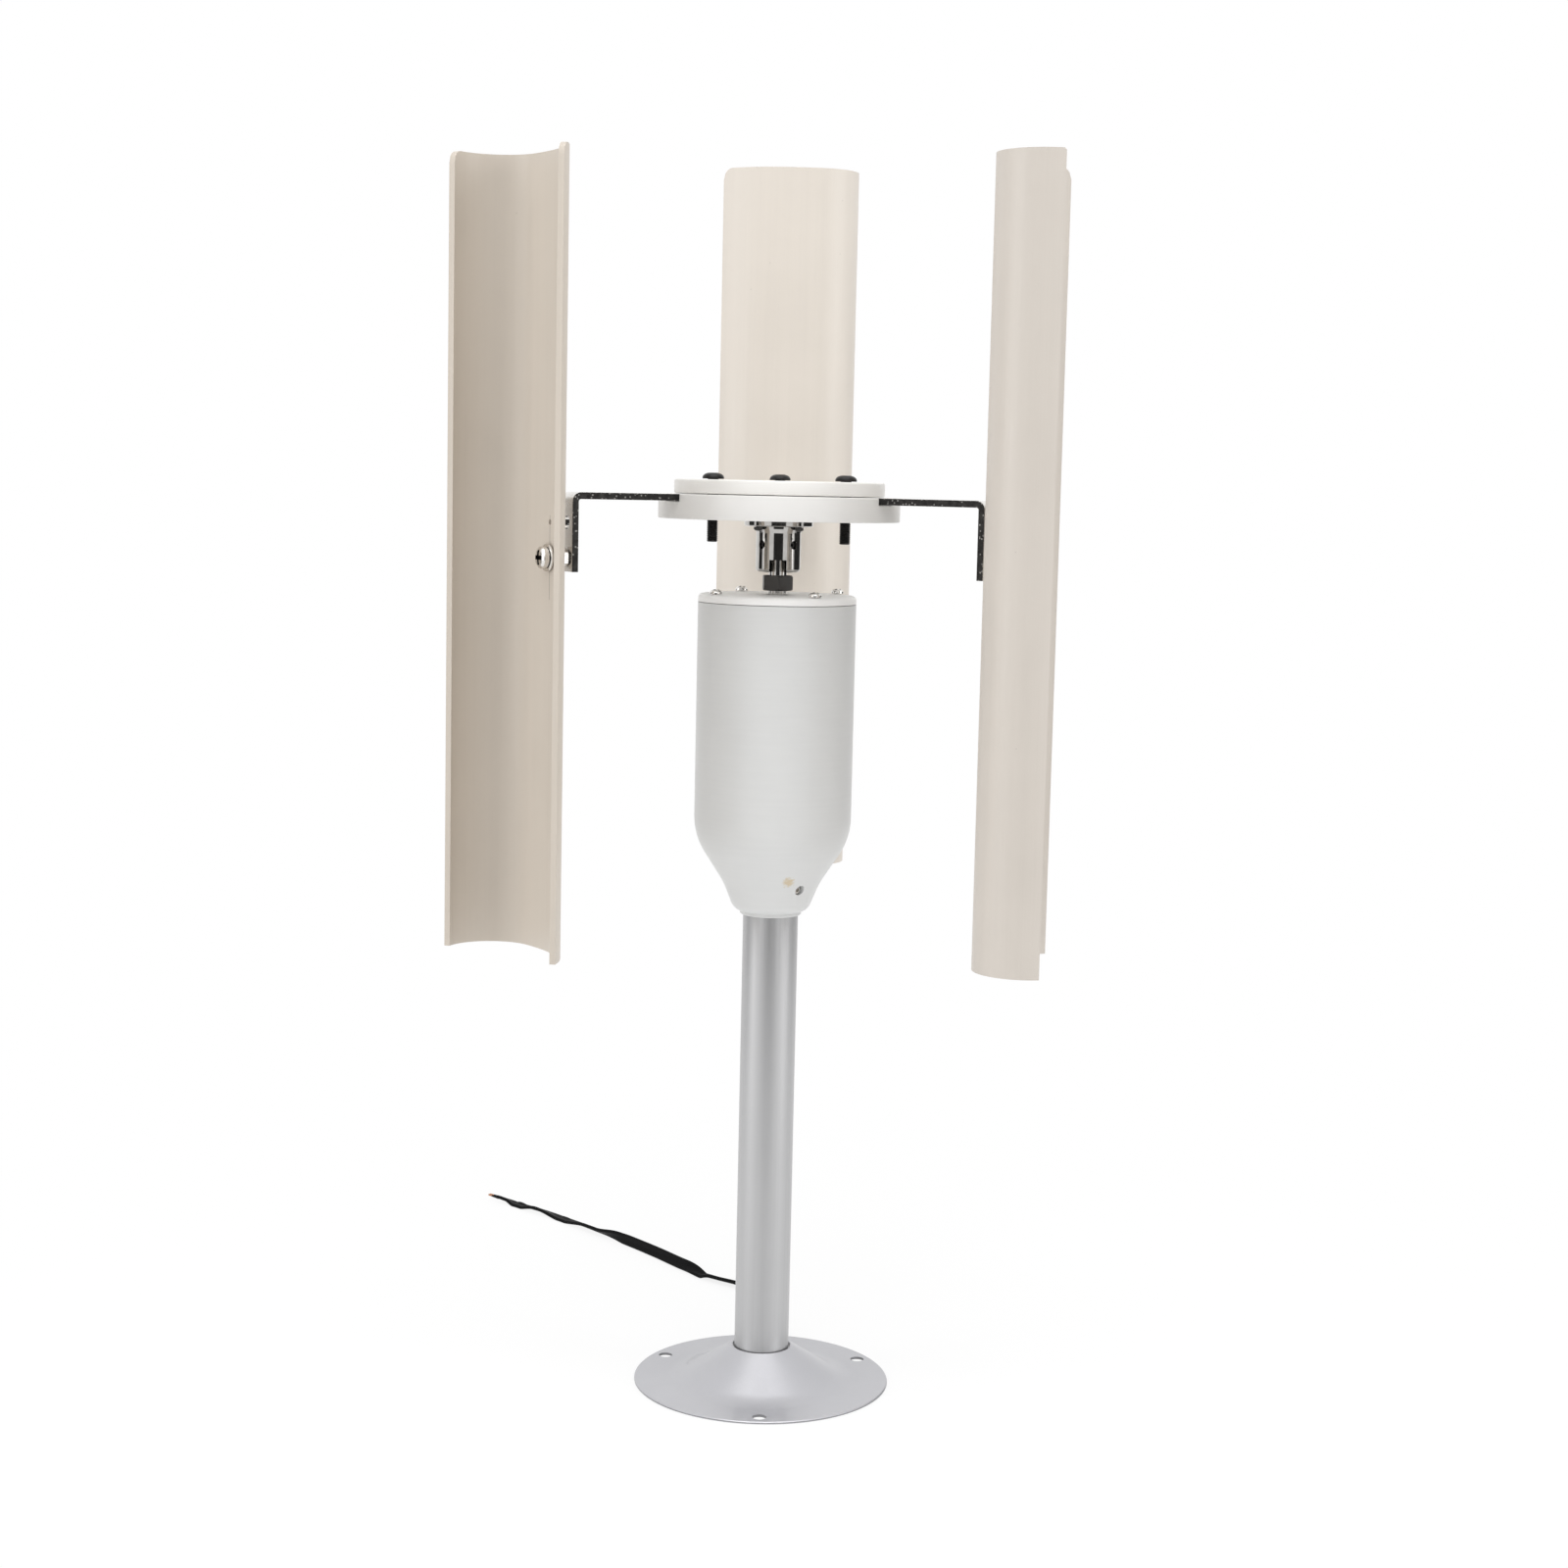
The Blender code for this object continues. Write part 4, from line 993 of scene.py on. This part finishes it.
def domed_screw(name, shank, length_below, head_radius, head_height, recess, dome):
    """A screw along +Z: its shank below z = 0, and its round head above with a hex or cross recess."""
    rim = head_height * (1 - dome)
    crown = [(head_radius * x ** 0.75, rim + (head_height - rim) * y) for x, y in arc((0, 0), 1, 0, 81, 9)]
    flat = crown[-1][0] * 0.6
    profile = [(0, -length_below), (shank * 0.8, -length_below), (shank, -length_below + shank * 0.25),
               (shank, 0), (head_radius * 0.97, 0), (head_radius, head_height * 0.06), *crown,
               (flat, head_height), (0, head_height)]
    made = turned(name, profile, SCREW_SIDES)
    depth = head_height * 0.6
    if recess == "hex":
        return cut(made, prism("tool", polygon(head_radius * 0.42, 6), head_height - depth, head_height * 2))
    arm, half = head_radius * 0.66, head_radius * 0.19
    cut(made, block((-arm, -half, head_height - depth), (arm, half, head_height * 2)),
        block((-half, -arm, head_height - depth), (half, arm, head_height * 2)))
    # The faces inside the cross recess are marked for the second finish, black, as painted shade
    for face in made.data.polygons:
        reach = min(1.0, hypot(face.center.x, face.center.y) / head_radius)
        crown_height = rim + (head_height - rim) * sqrt(1 - reach ** 2.67)
        inside = reach < 0.72 and head_height - depth * 1.05 < face.center.z < crown_height - 0.12 * MM
        face.material_index = int(inside)
    return made


def thread(name, radius, pitch, bottom, top, steps=THREAD_SIDES):
    """A threaded length along Z: a ridge that climbs one pitch each turn, with a chamfered lower end."""
    depth = 0.6 * pitch
    rows = max(8, int((top - bottom) / pitch * 6))
    bm = bmesh.new()
    rings = []
    for row in range(rows + 1):
        height = bottom + (top - bottom) * row / rows
        entry = min(1.0, 0.75 + (height - bottom) / (2 * pitch))
        ring = []
        for step in range(steps):
            phase = (height / pitch - step / steps) % 1.0
            reach = radius - depth * abs(2 * phase - 1) ** 1.2
            reach, turn = min(reach, radius * entry), 2 * pi * step / steps
            ring.append(bm.verts.new((reach * cos(turn), reach * sin(turn), height)))
        rings.append(ring)
    skin(bm, rings)
    return mesh_of(name, bm, CORD_SMOOTH_ANGLE)


def joined(target, *others):
    """Adds the others' faces to the target's mesh."""
    bm = bmesh.new()
    for thing in (target, *others):
        bm.from_mesh(thing.data)
    bm.to_mesh(target.data)
    bm.free()
    for thing in others:
        bpy.data.objects.remove(thing, do_unlink=True)
    shade(target, BOLT_SMOOTH_ANGLE)
    return target


def set_screw(name, radius, length_along):
    """A headless screw along +Z with its hex socket at the outer end."""
    made = turned(name, [(0, 0), (radius, 0), (radius, length_along - 0.25 * MM),
                         (radius - 0.25 * MM, length_along), (0, length_along)], GRUB_SIDES)
    return cut(made, prism("tool", polygon(radius * 0.55, 6), length_along * 0.5, length_along * 2))


def hex_nut(name, across_flats, bore, bottom, top, turn=0.0):
    """A nut with its corners turned off at both ends and a countersunk bore."""
    corner = across_flats / sqrt(3)
    made = prism(name, polygon(corner, 6, turn), bottom, top)
    cone, inner = corner * 1.02, across_flats / 2 * 0.96
    chamfer = (cone - inner) * tan(radians(30))
    envelope = turned("tool", [(0, bottom), (inner, bottom), (cone, bottom + chamfer), (cone, top - chamfer),
                               (inner, top), (0, top)], NUT_SIDES)
    combined(made, [envelope], "INTERSECT")
    cut(made, rod(bore, bottom - 1 * MM, top + 1 * MM))
    return soften(made, STEEL_ROUNDING)


# ---------------------------------------------------------------- hub

def coupling_hub():
    low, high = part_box("coupling_hub")
    under, rounded = high.z - HUB_FLANGE_THICKNESS, low.z + HUB_ROUNDING
    corner = arc((HUB_RADIUS - HUB_ROUNDING, rounded), HUB_ROUNDING, -90, 0, 8)
    # The two heights set in from the wall's ends keep its reflections straight
    wall = [(HUB_RADIUS, height)
            for height in (rounded + HUB_WALL_SET_IN, HUB_WALL_TOP - HUB_WALL_SET_IN, HUB_WALL_TOP)]
    profile = [(SHAFT_BORE, low.z), *corner, *wall, (HUB_NECK_RADIUS, HUB_NECK_BOTTOM),
               (HUB_NECK_RADIUS, under), (HUB_FLANGE_RADIUS - HUB_FLANGE_CHAMFER, under),
               (HUB_FLANGE_RADIUS, under + HUB_FLANGE_CHAMFER), (HUB_FLANGE_RADIUS, high.z),
               (SHAFT_BORE, high.z)]
    made = turned("shaft_coupling", profile, HUB_SIDES)
    half = HUB_SLOT_WIDTH / 2
    slot = block((-half, -20 * MM, low.z - 2 * MM), (half, 20 * MM, HUB_SLOT_TOP))
    holes = [moved(rod(HUB_GRUB_HOLE, 2 * MM, 14 * MM), outward(a, HUB_GRUB_HEIGHT)) for a in HUB_GRUB_ANGLES]
    holes += [moved(rod(HUB_SCREW_HOLE, 392 * MM, 399 * MM), at_polar(a, HUB_SCREW_CIRCLE))
              for a in HUB_SCREW_ANGLES]
    cut(made, slot, *holes)
    return soften(made, STEEL_ROUNDING)


def clamp_disc(name, node, chamfer, tools):
    low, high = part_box(node)
    radius = (high.x - low.x) / 2
    outline = [(0, low.z), *arc((radius - chamfer, low.z + chamfer), chamfer, -90, 0, 4),
               *arc((radius - chamfer, high.z - chamfer), chamfer, 0, 90, 4), (0, high.z)]
    made = turned(name, outline)
    return soften(cut(made, *tools), DISC_ROUNDING)


def clamp_bolt_holes():
    return [moved(rod(M5_HOLE, 390 * MM, 420 * MM), at_polar(a, CLAMP_BOLT_CIRCLE)) for a in ARM_ANGLES]


def arm_channels():
    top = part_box("lower_disc")[1].z
    half, floor = ARM_WIDTH / 2 + GAP, top - ARM_THICKNESS - GAP
    low, high = (ARM_INNER_END - 0.6 * MM, -half, floor), (60 * MM, half, top + 4 * MM)
    return [moved(block(low, high), turn_about_z(a)) for a in ARM_ANGLES]


def bracket_arm(number, angle):
    """Flat bar bent down into a leg with two holes; its cut sides are rougher than its faces."""
    low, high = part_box(f"arm_{number}")
    top, bottom, face = high.z, low.z, ARM_LEG_FACE
    centre = (face - ARM_BEND, top - ARM_BEND)
    outline = [(ARM_INNER_END, top), *arc(centre, ARM_BEND, 90, 0, 14), (face, bottom),
               (face - ARM_THICKNESS, bottom), *arc(centre, ARM_BEND - ARM_THICKNESS, 0, 90, 10),
               (ARM_INNER_END, top - ARM_THICKNESS)]
    made = prism(f"bracket_bar_{number}", outline, -ARM_WIDTH / 2, ARM_WIDTH / 2)
    moved(made, Matrix.Rotation(pi / 2, 4, "X"))
    holes = [moved(rod(M5_HOLE, 400 * MM, 412 * MM), at_polar(0, CLAMP_BOLT_CIRCLE))]
    holes += [moved(rod(M5_HOLE, 95 * MM, 110 * MM), outward(0, ARM_HOLE_HEIGHT + step))
              for step in (0, BRACKET_HOLE_STEP)]
    cut(made, *holes)
    for face in made.data.polygons:
        face.material_index = int(abs(face.normal.y) > 0.9)
    moved(made, turn_about_z(angle))
    show(made, "rotor", "bright_steel", "plated", f"arm_{number}", second="sheared")
    return soften(made, sizes().bar_rounding)


# ---------------------------------------------------------------- blades

def blade_section(step):
    """The section's middle line from its nose edge to its tail edge: places, normals and developed widths."""
    def run(radius, reach, place, turn, side, found):
        count = max(2, int(reach / step))
        for _ in range(count):
            middle = turn + reach / radius / count / 2
            place = (place[0] + sin(middle) * reach / count, place[1] + side * cos(middle) * reach / count)
            turn += reach / radius / count
            found.append((place, (-cos(turn), side * sin(turn))))
        return place, turn

    start = (BLADE_CONTACT + BLADE_WALL / 2, 0.0)
    nose, tail = [(start, (-1.0, 0.0))], []
    place, turn = run(BLADE_BACK_RADIUS, BLADE_BACK_LENGTH, start, 0.0, -1, nose)
    run(BLADE_NOSE_RADIUS, BLADE_NOSE_RADIUS * BLADE_NOSE_TURN, place, turn, -1, nose)
    run(BLADE_TAIL_RADIUS, BLADE_TAIL_RADIUS * BLADE_TAIL_TURN, start, 0.0, 1, tail)
    line = nose[::-1] + tail
    widths = [0.0]
    for (here, _), (there, _) in zip(line, line[1:]):
        widths.append(widths[-1] + hypot(there[0] - here[0], there[1] - here[1]))
    return line, widths


def corner_drop(distance, radius):
    if distance >= radius:
        return 0.0
    return radius - sqrt(radius ** 2 - (radius - distance) ** 2)


def blade(number, angle):
    """One hooked blade, with its upper corners rounded off, its screw hole and its pilot hole."""
    low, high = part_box(f"blade_{number}")
    nose_corner = BLADE_SQUARE_CORNER if angle == SQUARE_NOSED_BLADE else BLADE_CORNER
    line, widths = blade_section(BLADE_STEP)
    bm = bmesh.new()
    columns = []
    for (place, normal), width in zip(line, widths):
        drop = max(corner_drop(width, nose_corner), corner_drop(widths[-1] - width, BLADE_CORNER))
        column = []
        for offset, height in ((1, low.z), (1, high.z - drop), (-1, high.z - drop), (-1, low.z)):
            reach = offset * BLADE_WALL / 2
            column.append(bm.verts.new((place[0] + normal[0] * reach, place[1] + normal[1] * reach, height)))
        columns.append(column)
    skin(bm, columns)
    made = mesh_of(f"hooked_blade_{number}", bm)
    middle = (low.z + high.z) / 2
    cut(made, moved(rod(BLADE_SCREW_HOLE, 100 * MM, 120 * MM), outward(0, middle)),
        moved(rod(BLADE_PILOT_HOLE, 100 * MM, 120 * MM), outward(0, middle + BRACKET_HOLE_STEP)))
    moved(made, turn_about_z(angle))
    return soften(made, sizes().blade_rounding, 3)


# ---------------------------------------------------------------- operators

class MakeStand(bpy.types.Operator):
    """Makes the pressed base and the drawn mast, and finishes the pieces under and in them"""
    bl_idname = "turbine.make_stand"
    bl_label = "Stand"

    def execute(self, context):
        show(base_flange(), "stand", "silver_paint", "silver", "base_flange", second="silver shaded edge")
        show(mast_tube(), "stand", "satin_metal", "tube", "mast_tube")
        for node, finish in (("foot_plate", "plated"), ("foot_plug", "cast"), ("foot_bolt", "plated"),
                             ("cable_grommet", "rubber"), ("mast_cable", "rubber")):
            refinish(node, finish)
        return {"FINISHED"}


class MakeCord(bpy.types.Operator):
    """Makes the flat twin cord that lies behind the mast, and its two bare cores"""
    bl_idname = "turbine.make_cord"
    bl_label = "Output cord"

    def execute(self, context):
        width, thickness = sizes().cord_width, sizes().cord_thickness
        line = cord_line(width, thickness)
        made = sweep("twin_cord", line, twin_outline(width, thickness))
        show(made, "stand", "black_rubber", "rubber", "output_cable")
        end, roll = line[-1]
        forward = (end - line[-4][0]).normalized()
        side = forward.cross(Vector((0, 0, 1))).normalized()
        for number, offset in ((1, CORE_OFFSET), (2, -CORE_OFFSET)):
            start = end + side * offset
            bend = [start + forward * d * MM - side * (offset * 0.07 * d) for d in (0.1, 2, 4, 6, 6.1, 8, 9)]
            core = sweep(f"bare_core_{number}", [(p, 0.0) for p in bend], polygon(CORE_RADIUS, 14))
            for face in core.data.polygons:
                face.material_index = int((face.center - start).length < CORE_SHEATH)
            show(core, "stand", "copper_wire", "copper", f"cable_core_{number}", second="rubber")
        return {"FINISHED"}


class MakeHousing(bpy.types.Operator):
    """Makes the generator's housing, its cover and their screws"""
    bl_idname = "turbine.make_housing"
    bl_label = "Housing"

    def execute(self, context):
        show(housing_shell(), "stand", "white_plastic", "housing", "housing_shell")
        show(housing_cover(), "stand", "white_plastic", "cover", "housing_cover")
        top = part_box("housing_cover")[1].z + GAP
        for number, angle in enumerate(COVER_SCREW_ANGLES, 1):
            one = domed_screw(f"lid_screw_{number}", *COVER_SCREW)
            moved(one, at_polar(angle, COVER_SCREW_CIRCLE) @ lifted(top) @ turn_about_z(angle * 2))
            show(one, "stand", "bright_steel", "plated", f"cover_screw_{number}")
        one = moved(set_screw("neck_grub", *NECK_SCREW_SIZE),
                    outward(NECK_SCREW_ANGLE, NECK_SCREW_HEIGHT) @ lifted(NECK_SCREW_TIP))
        show(one, "stand", "dark_steel", "plated", "neck_set_screw")
        return {"FINISHED"}


class FinishGenerator(bpy.types.Operator):
    """Finishes the generator's plates, coils, magnets and bearings inside the housing"""
    bl_idname = "turbine.finish_generator"
    bl_label = "Generator"

    def execute(self, context):
        for node, finish in (("generator_can", "plated"), ("stator_core", "iron"),
                             ("stator_windings", "copper"), ("rotor_core", "iron"), ("magnet_ring", "magnet"),
                             ("rotor_shaft", "turned"), ("shaft_circlip", "black steel")):
            refinish(node, finish)
        for end in ("front", "rear"):
            refinish(f"generator_{end}_plate", "cast")
            for part in ("outer_ring", "inner_ring", "balls"):
                refinish(f"{end}_bearing_{part}", "turned")
        return {"FINISHED"}


class MakeHub(bpy.types.Operator):
    """Makes the shaft nut, the coupling and their small screws"""
    bl_idname = "turbine.make_hub"
    bl_label = "Hub"

    def execute(self, context):
        low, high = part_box("lock_nut")
        nut = hex_nut("shaft_nut", NUT_ACROSS_FLATS, SHAFT_BORE, low.z, high.z, NUT_TURN)
        show(nut, "rotor", "dark_steel", "black steel", "lock_nut")
        show(coupling_hub(), "rotor", "bright_steel", "turned", "coupling_hub")
        for number, angle in enumerate(HUB_GRUB_ANGLES, 1):
            one = moved(set_screw(f"hub_grub_{number}", *HUB_GRUB_SIZE),
                        outward(angle, HUB_GRUB_HEIGHT) @ lifted(HUB_GRUB_TIP))
            show(one, "rotor", "dark_steel", "black steel", f"hub_grub_screw_{number}")
        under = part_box("coupling_hub")[1].z - HUB_FLANGE_THICKNESS - GAP
        for number, angle in enumerate(HUB_SCREW_ANGLES, 1):
            one = domed_screw(f"hub_screw_{number}", *FLANGE_SCREW)
            moved(one, at_polar(angle, HUB_SCREW_CIRCLE) @ lifted(under) @ Matrix.Rotation(pi, 4, "X"))
            show(one, "rotor", "dark_steel", "black steel", f"flange_screw_{number}")
        return {"FINISHED"}


class MakeDiscs(bpy.types.Operator):
    """Makes the two clamp discs and the bolts that hold the arms between them"""
    bl_idname = "turbine.make_discs"
    bl_label = "Clamp discs"

    def execute(self, context):
        lower = clamp_disc("lower_clamp_disc", "lower_disc", LOWER_DISC_CHAMFER,
                           [*arm_channels(), *clamp_bolt_holes()])
        show(lower, "rotor", "white_plastic", "lower disc", "lower_disc")
        upper = clamp_disc("upper_clamp_disc", "top_disc", TOP_DISC_CHAMFER, clamp_bolt_holes())
        show(upper, "rotor", "white_plastic", "top disc", "top_disc")
        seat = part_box("top_disc")[1].z
        for number, angle in enumerate(ARM_ANGLES, 1):
            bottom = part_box(f"clamp_bolt_{number}")[0].z - seat - GAP
            head = domed_screw(f"button_bolt_{number}", *CLAMP_BOLT_HEAD)
            shank = thread("tool", CLAMP_BOLT_RADIUS, sizes().thread_pitch, bottom, -CLAMP_BOLT_PLAIN)
            one = moved(joined(head, shank), at_polar(angle, CLAMP_BOLT_CIRCLE) @ lifted(seat + GAP))
            show(one, "rotor", "black_plastic", "bolt", f"clamp_bolt_{number}")
        return {"FINISHED"}


class MakeArms(bpy.types.Operator):
    """Makes the three bent bracket bars"""
    bl_idname = "turbine.make_arms"
    bl_label = "Bracket arms"

    def execute(self, context):
        for number, angle in enumerate(ARM_ANGLES, 1):
            bracket_arm(number, angle)
        return {"FINISHED"}


class MakeBlades(bpy.types.Operator):
    """Makes the three hooked blades and the screw, washer and spacer nut of each"""
    bl_idname = "turbine.make_blades"
    bl_label = "Blades"

    def execute(self, context):
        for number, angle in enumerate(ARM_ANGLES, 1):
            show(blade(number, angle), "rotor", "ivory_plastic", f"blade {number}", f"blade_{number}")
            low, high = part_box(f"blade_{number}")
            out = outward(angle, (low.z + high.z) / 2)
            near = BLADE_CONTACT + BLADE_WALL + WASHER_STAND_OFF
            far, edge = near + WASHER_THICKNESS, WASHER_RADIUS - WASHER_EDGE
            head = far + GAP
            bolt = domed_screw(f"pan_screw_{number}", BLADE_SCREW_RADIUS, head - BLADE_SCREW_END,
                               *BLADE_SCREW_HEAD)
            show(moved(bolt, out @ lifted(head)), "rotor", "bright_steel", "plated", f"blade_screw_{number}")
            ring = turned(f"flat_washer_{number}",
                          [(M5_HOLE, near), (edge, near), (WASHER_RADIUS, near + WASHER_EDGE),
                           (WASHER_RADIUS, far - WASHER_EDGE), (edge, far), (M5_HOLE, far)],
                          NUT_SIDES)
            show(moved(ring, out), "rotor", "bright_steel", "plated", f"blade_washer_{number}")
            nut = hex_nut(f"spacer_nut_{number}", SPACER_ACROSS_FLATS, M5_HOLE, ARM_LEG_FACE + GAP,
                          BLADE_CONTACT - GAP)
            show(moved(nut, out), "rotor", "bright_steel", "plated", f"blade_spacer_nut_{number}")
        return {"FINISHED"}


class MakeStage(bpy.types.Operator):
    """Makes the pale floor, the soft lights and the camera"""
    bl_idname = "turbine.make_stage"
    bl_label = "Stage"

    def execute(self, context):
        make_floor()
        make_world()
        make_lights()
        make_camera()
        context.scene.view_settings.view_transform = "Standard"
        return {"FINISHED"}


# ---------------------------------------------------------------- stage

def seen_directly(tree):
    """1 for what the camera, a mirror or glass sees, and 0 for what lights the object."""
    path = tree.nodes.new("ShaderNodeLightPath")
    first = math_node(tree, "MAXIMUM", path.outputs["Is Camera Ray"], path.outputs["Is Glossy Ray"])
    return math_node(tree, "MAXIMUM", first, path.outputs["Is Transmission Ray"])


def make_floor():
    """A wide pale floor: white to the eye, with the object's soft shadow on it."""
    bm = bmesh.new()
    bmesh.ops.create_grid(bm, x_segments=1, y_segments=1, size=FLOOR_SIZE)
    floor = mesh_of("floor", bm)
    floor.location.z = -0.1 * MM
    made = bpy.data.materials.new("floor")
    made.use_nodes = True
    tree = made.node_tree
    matt = tree.nodes["Principled BSDF"]
    set_inputs(matt, Base_Color=(*colours().floor, 1.0), Roughness=1.0, Specular_IOR_Level=0.0)
    glow = tree.nodes.new("ShaderNodeEmission")
    set_inputs(glow, Strength=1.0)
    mix = tree.nodes.new("ShaderNodeMixShader")
    far = tree.nodes.new("ShaderNodeVectorMath")
    far.operation = "LENGTH"
    tree.links.new(tree.nodes.new("ShaderNodeTexCoord").outputs["Object"], far.inputs[0])
    fade = spread(tree, far.outputs["Value"], FLOOR_NEAR, FLOOR_FAR, FLOOR_SHADOW_SHARE, 1.0)
    share = math_node(tree, "MULTIPLY", seen_directly(tree), fade)
    tree.links.new(share, mix.inputs[0])
    tree.links.new(matt.outputs[0], mix.inputs[1])
    tree.links.new(glow.outputs[0], mix.inputs[2])
    tree.links.new(mix.outputs[0], tree.nodes["Material Output"].inputs["Surface"])
    floor.data.materials.append(made)


def make_world():
    world = bpy.data.worlds.new("studio")
    world.use_nodes = True
    tree = world.node_tree
    seen, lit = tree.nodes["Background"], tree.nodes.new("ShaderNodeBackground")
    for background, strength in ((seen, 1.0), (lit, WORLD_STRENGTH)):
        set_inputs(background, Color=(1, 1, 1, 1), Strength=strength)
    mix = tree.nodes.new("ShaderNodeMixShader")
    tree.links.new(seen_directly(tree), mix.inputs[0])
    tree.links.new(lit.outputs[0], mix.inputs[1])
    tree.links.new(seen.outputs[0], mix.inputs[2])
    tree.links.new(mix.outputs[0], tree.nodes["World Output"].inputs["Surface"])
    bpy.context.scene.world = world


def facing(place, target):
    """The turn that points an object's -Z from its place to a target."""
    return (Vector(target) - Vector(place)).to_track_quat("-Z", "Y").to_euler()


def soft_light(name, place, size, power):
    data = bpy.data.lights.new(name, "AREA")
    data.shape = "RECTANGLE"
    data.size, data.size_y = size
    data.energy = power
    made = bpy.data.objects.new(name, data)
    made.location = place
    made.rotation_euler = facing(place, LIGHT_AIM)
    bpy.context.scene.collection.objects.link(made)


def dark_card(name, place, target, size):
    """A dark panel out of sight, for the bright metal to reflect."""
    bm = bmesh.new()
    bmesh.ops.create_grid(bm, x_segments=1, y_segments=1, size=0.5)
    card = mesh_of(name, bm)
    card.scale = (*size, 1)
    card.location = place
    card.rotation_euler = facing(place, target)
    card.visible_camera = card.visible_shadow = card.visible_diffuse = False
    made = bpy.data.materials.new(name)
    made.use_nodes = True
    set_inputs(made.node_tree.nodes["Principled BSDF"], Base_Color=CARD_TONE, Roughness=1.0)
    card.data.materials.append(made)


def make_lights():
    for light in LIGHTS:
        soft_light(*light)
    for card in DARK_CARDS:
        dark_card(*card)


def make_camera():
    data = bpy.data.cameras.new("camera")
    data.sensor_width = 36.0
    data.lens = CAMERA_LENS
    data.clip_start, data.clip_end = 0.01, 50.0
    made = bpy.data.objects.new("camera", data)
    made.matrix_world = (Matrix.Translation(CAMERA_PLACE) @ Matrix.Rotation(pi / 2 - CAMERA_PITCH, 4, "X")
                         @ Matrix.Rotation(CAMERA_ROLL, 4, "Z"))
    bpy.context.scene.collection.objects.link(made)
    bpy.context.scene.camera = made


# ---------------------------------------------------------------- panel and registration

MAKERS = (MakeStage, MakeCord, MakeStand, MakeHousing, FinishGenerator, MakeHub, MakeDiscs, MakeArms,
          MakeBlades)


class TurbinePanel(bpy.types.Panel):
    """Lists the turbine's sizes, colours and makers"""
    bl_idname = "VIEW3D_PT_turbine"
    bl_label = "Vertical axis turbine"
    bl_space_type = "VIEW_3D"
    bl_region_type = "UI"
    bl_category = "Turbine"

    def draw(self, context):
        for maker in MAKERS:
            self.layout.operator(maker.bl_idname)
        for group in (context.scene.turbine_sizes, context.scene.turbine_colours):
            box = self.layout.box()
            for name in group.__annotations__:
                box.prop(group, name)


CLASSES = (TurbineSizes, TurbineColours, *MAKERS, TurbinePanel)


def register():
    for one in CLASSES:
        bpy.utils.register_class(one)
    bpy.types.Scene.turbine_sizes = bpy.props.PointerProperty(type=TurbineSizes)
    bpy.types.Scene.turbine_colours = bpy.props.PointerProperty(type=TurbineColours)


def unregister():
    del bpy.types.Scene.turbine_colours
    del bpy.types.Scene.turbine_sizes
    for one in reversed(CLASSES):
        bpy.utils.unregister_class(one)


def main():
    register()
    for maker in MAKERS:
        group, name = maker.bl_idname.split(".")
        getattr(getattr(bpy.ops, group), name)()


if __name__ == "__main__":
    main()
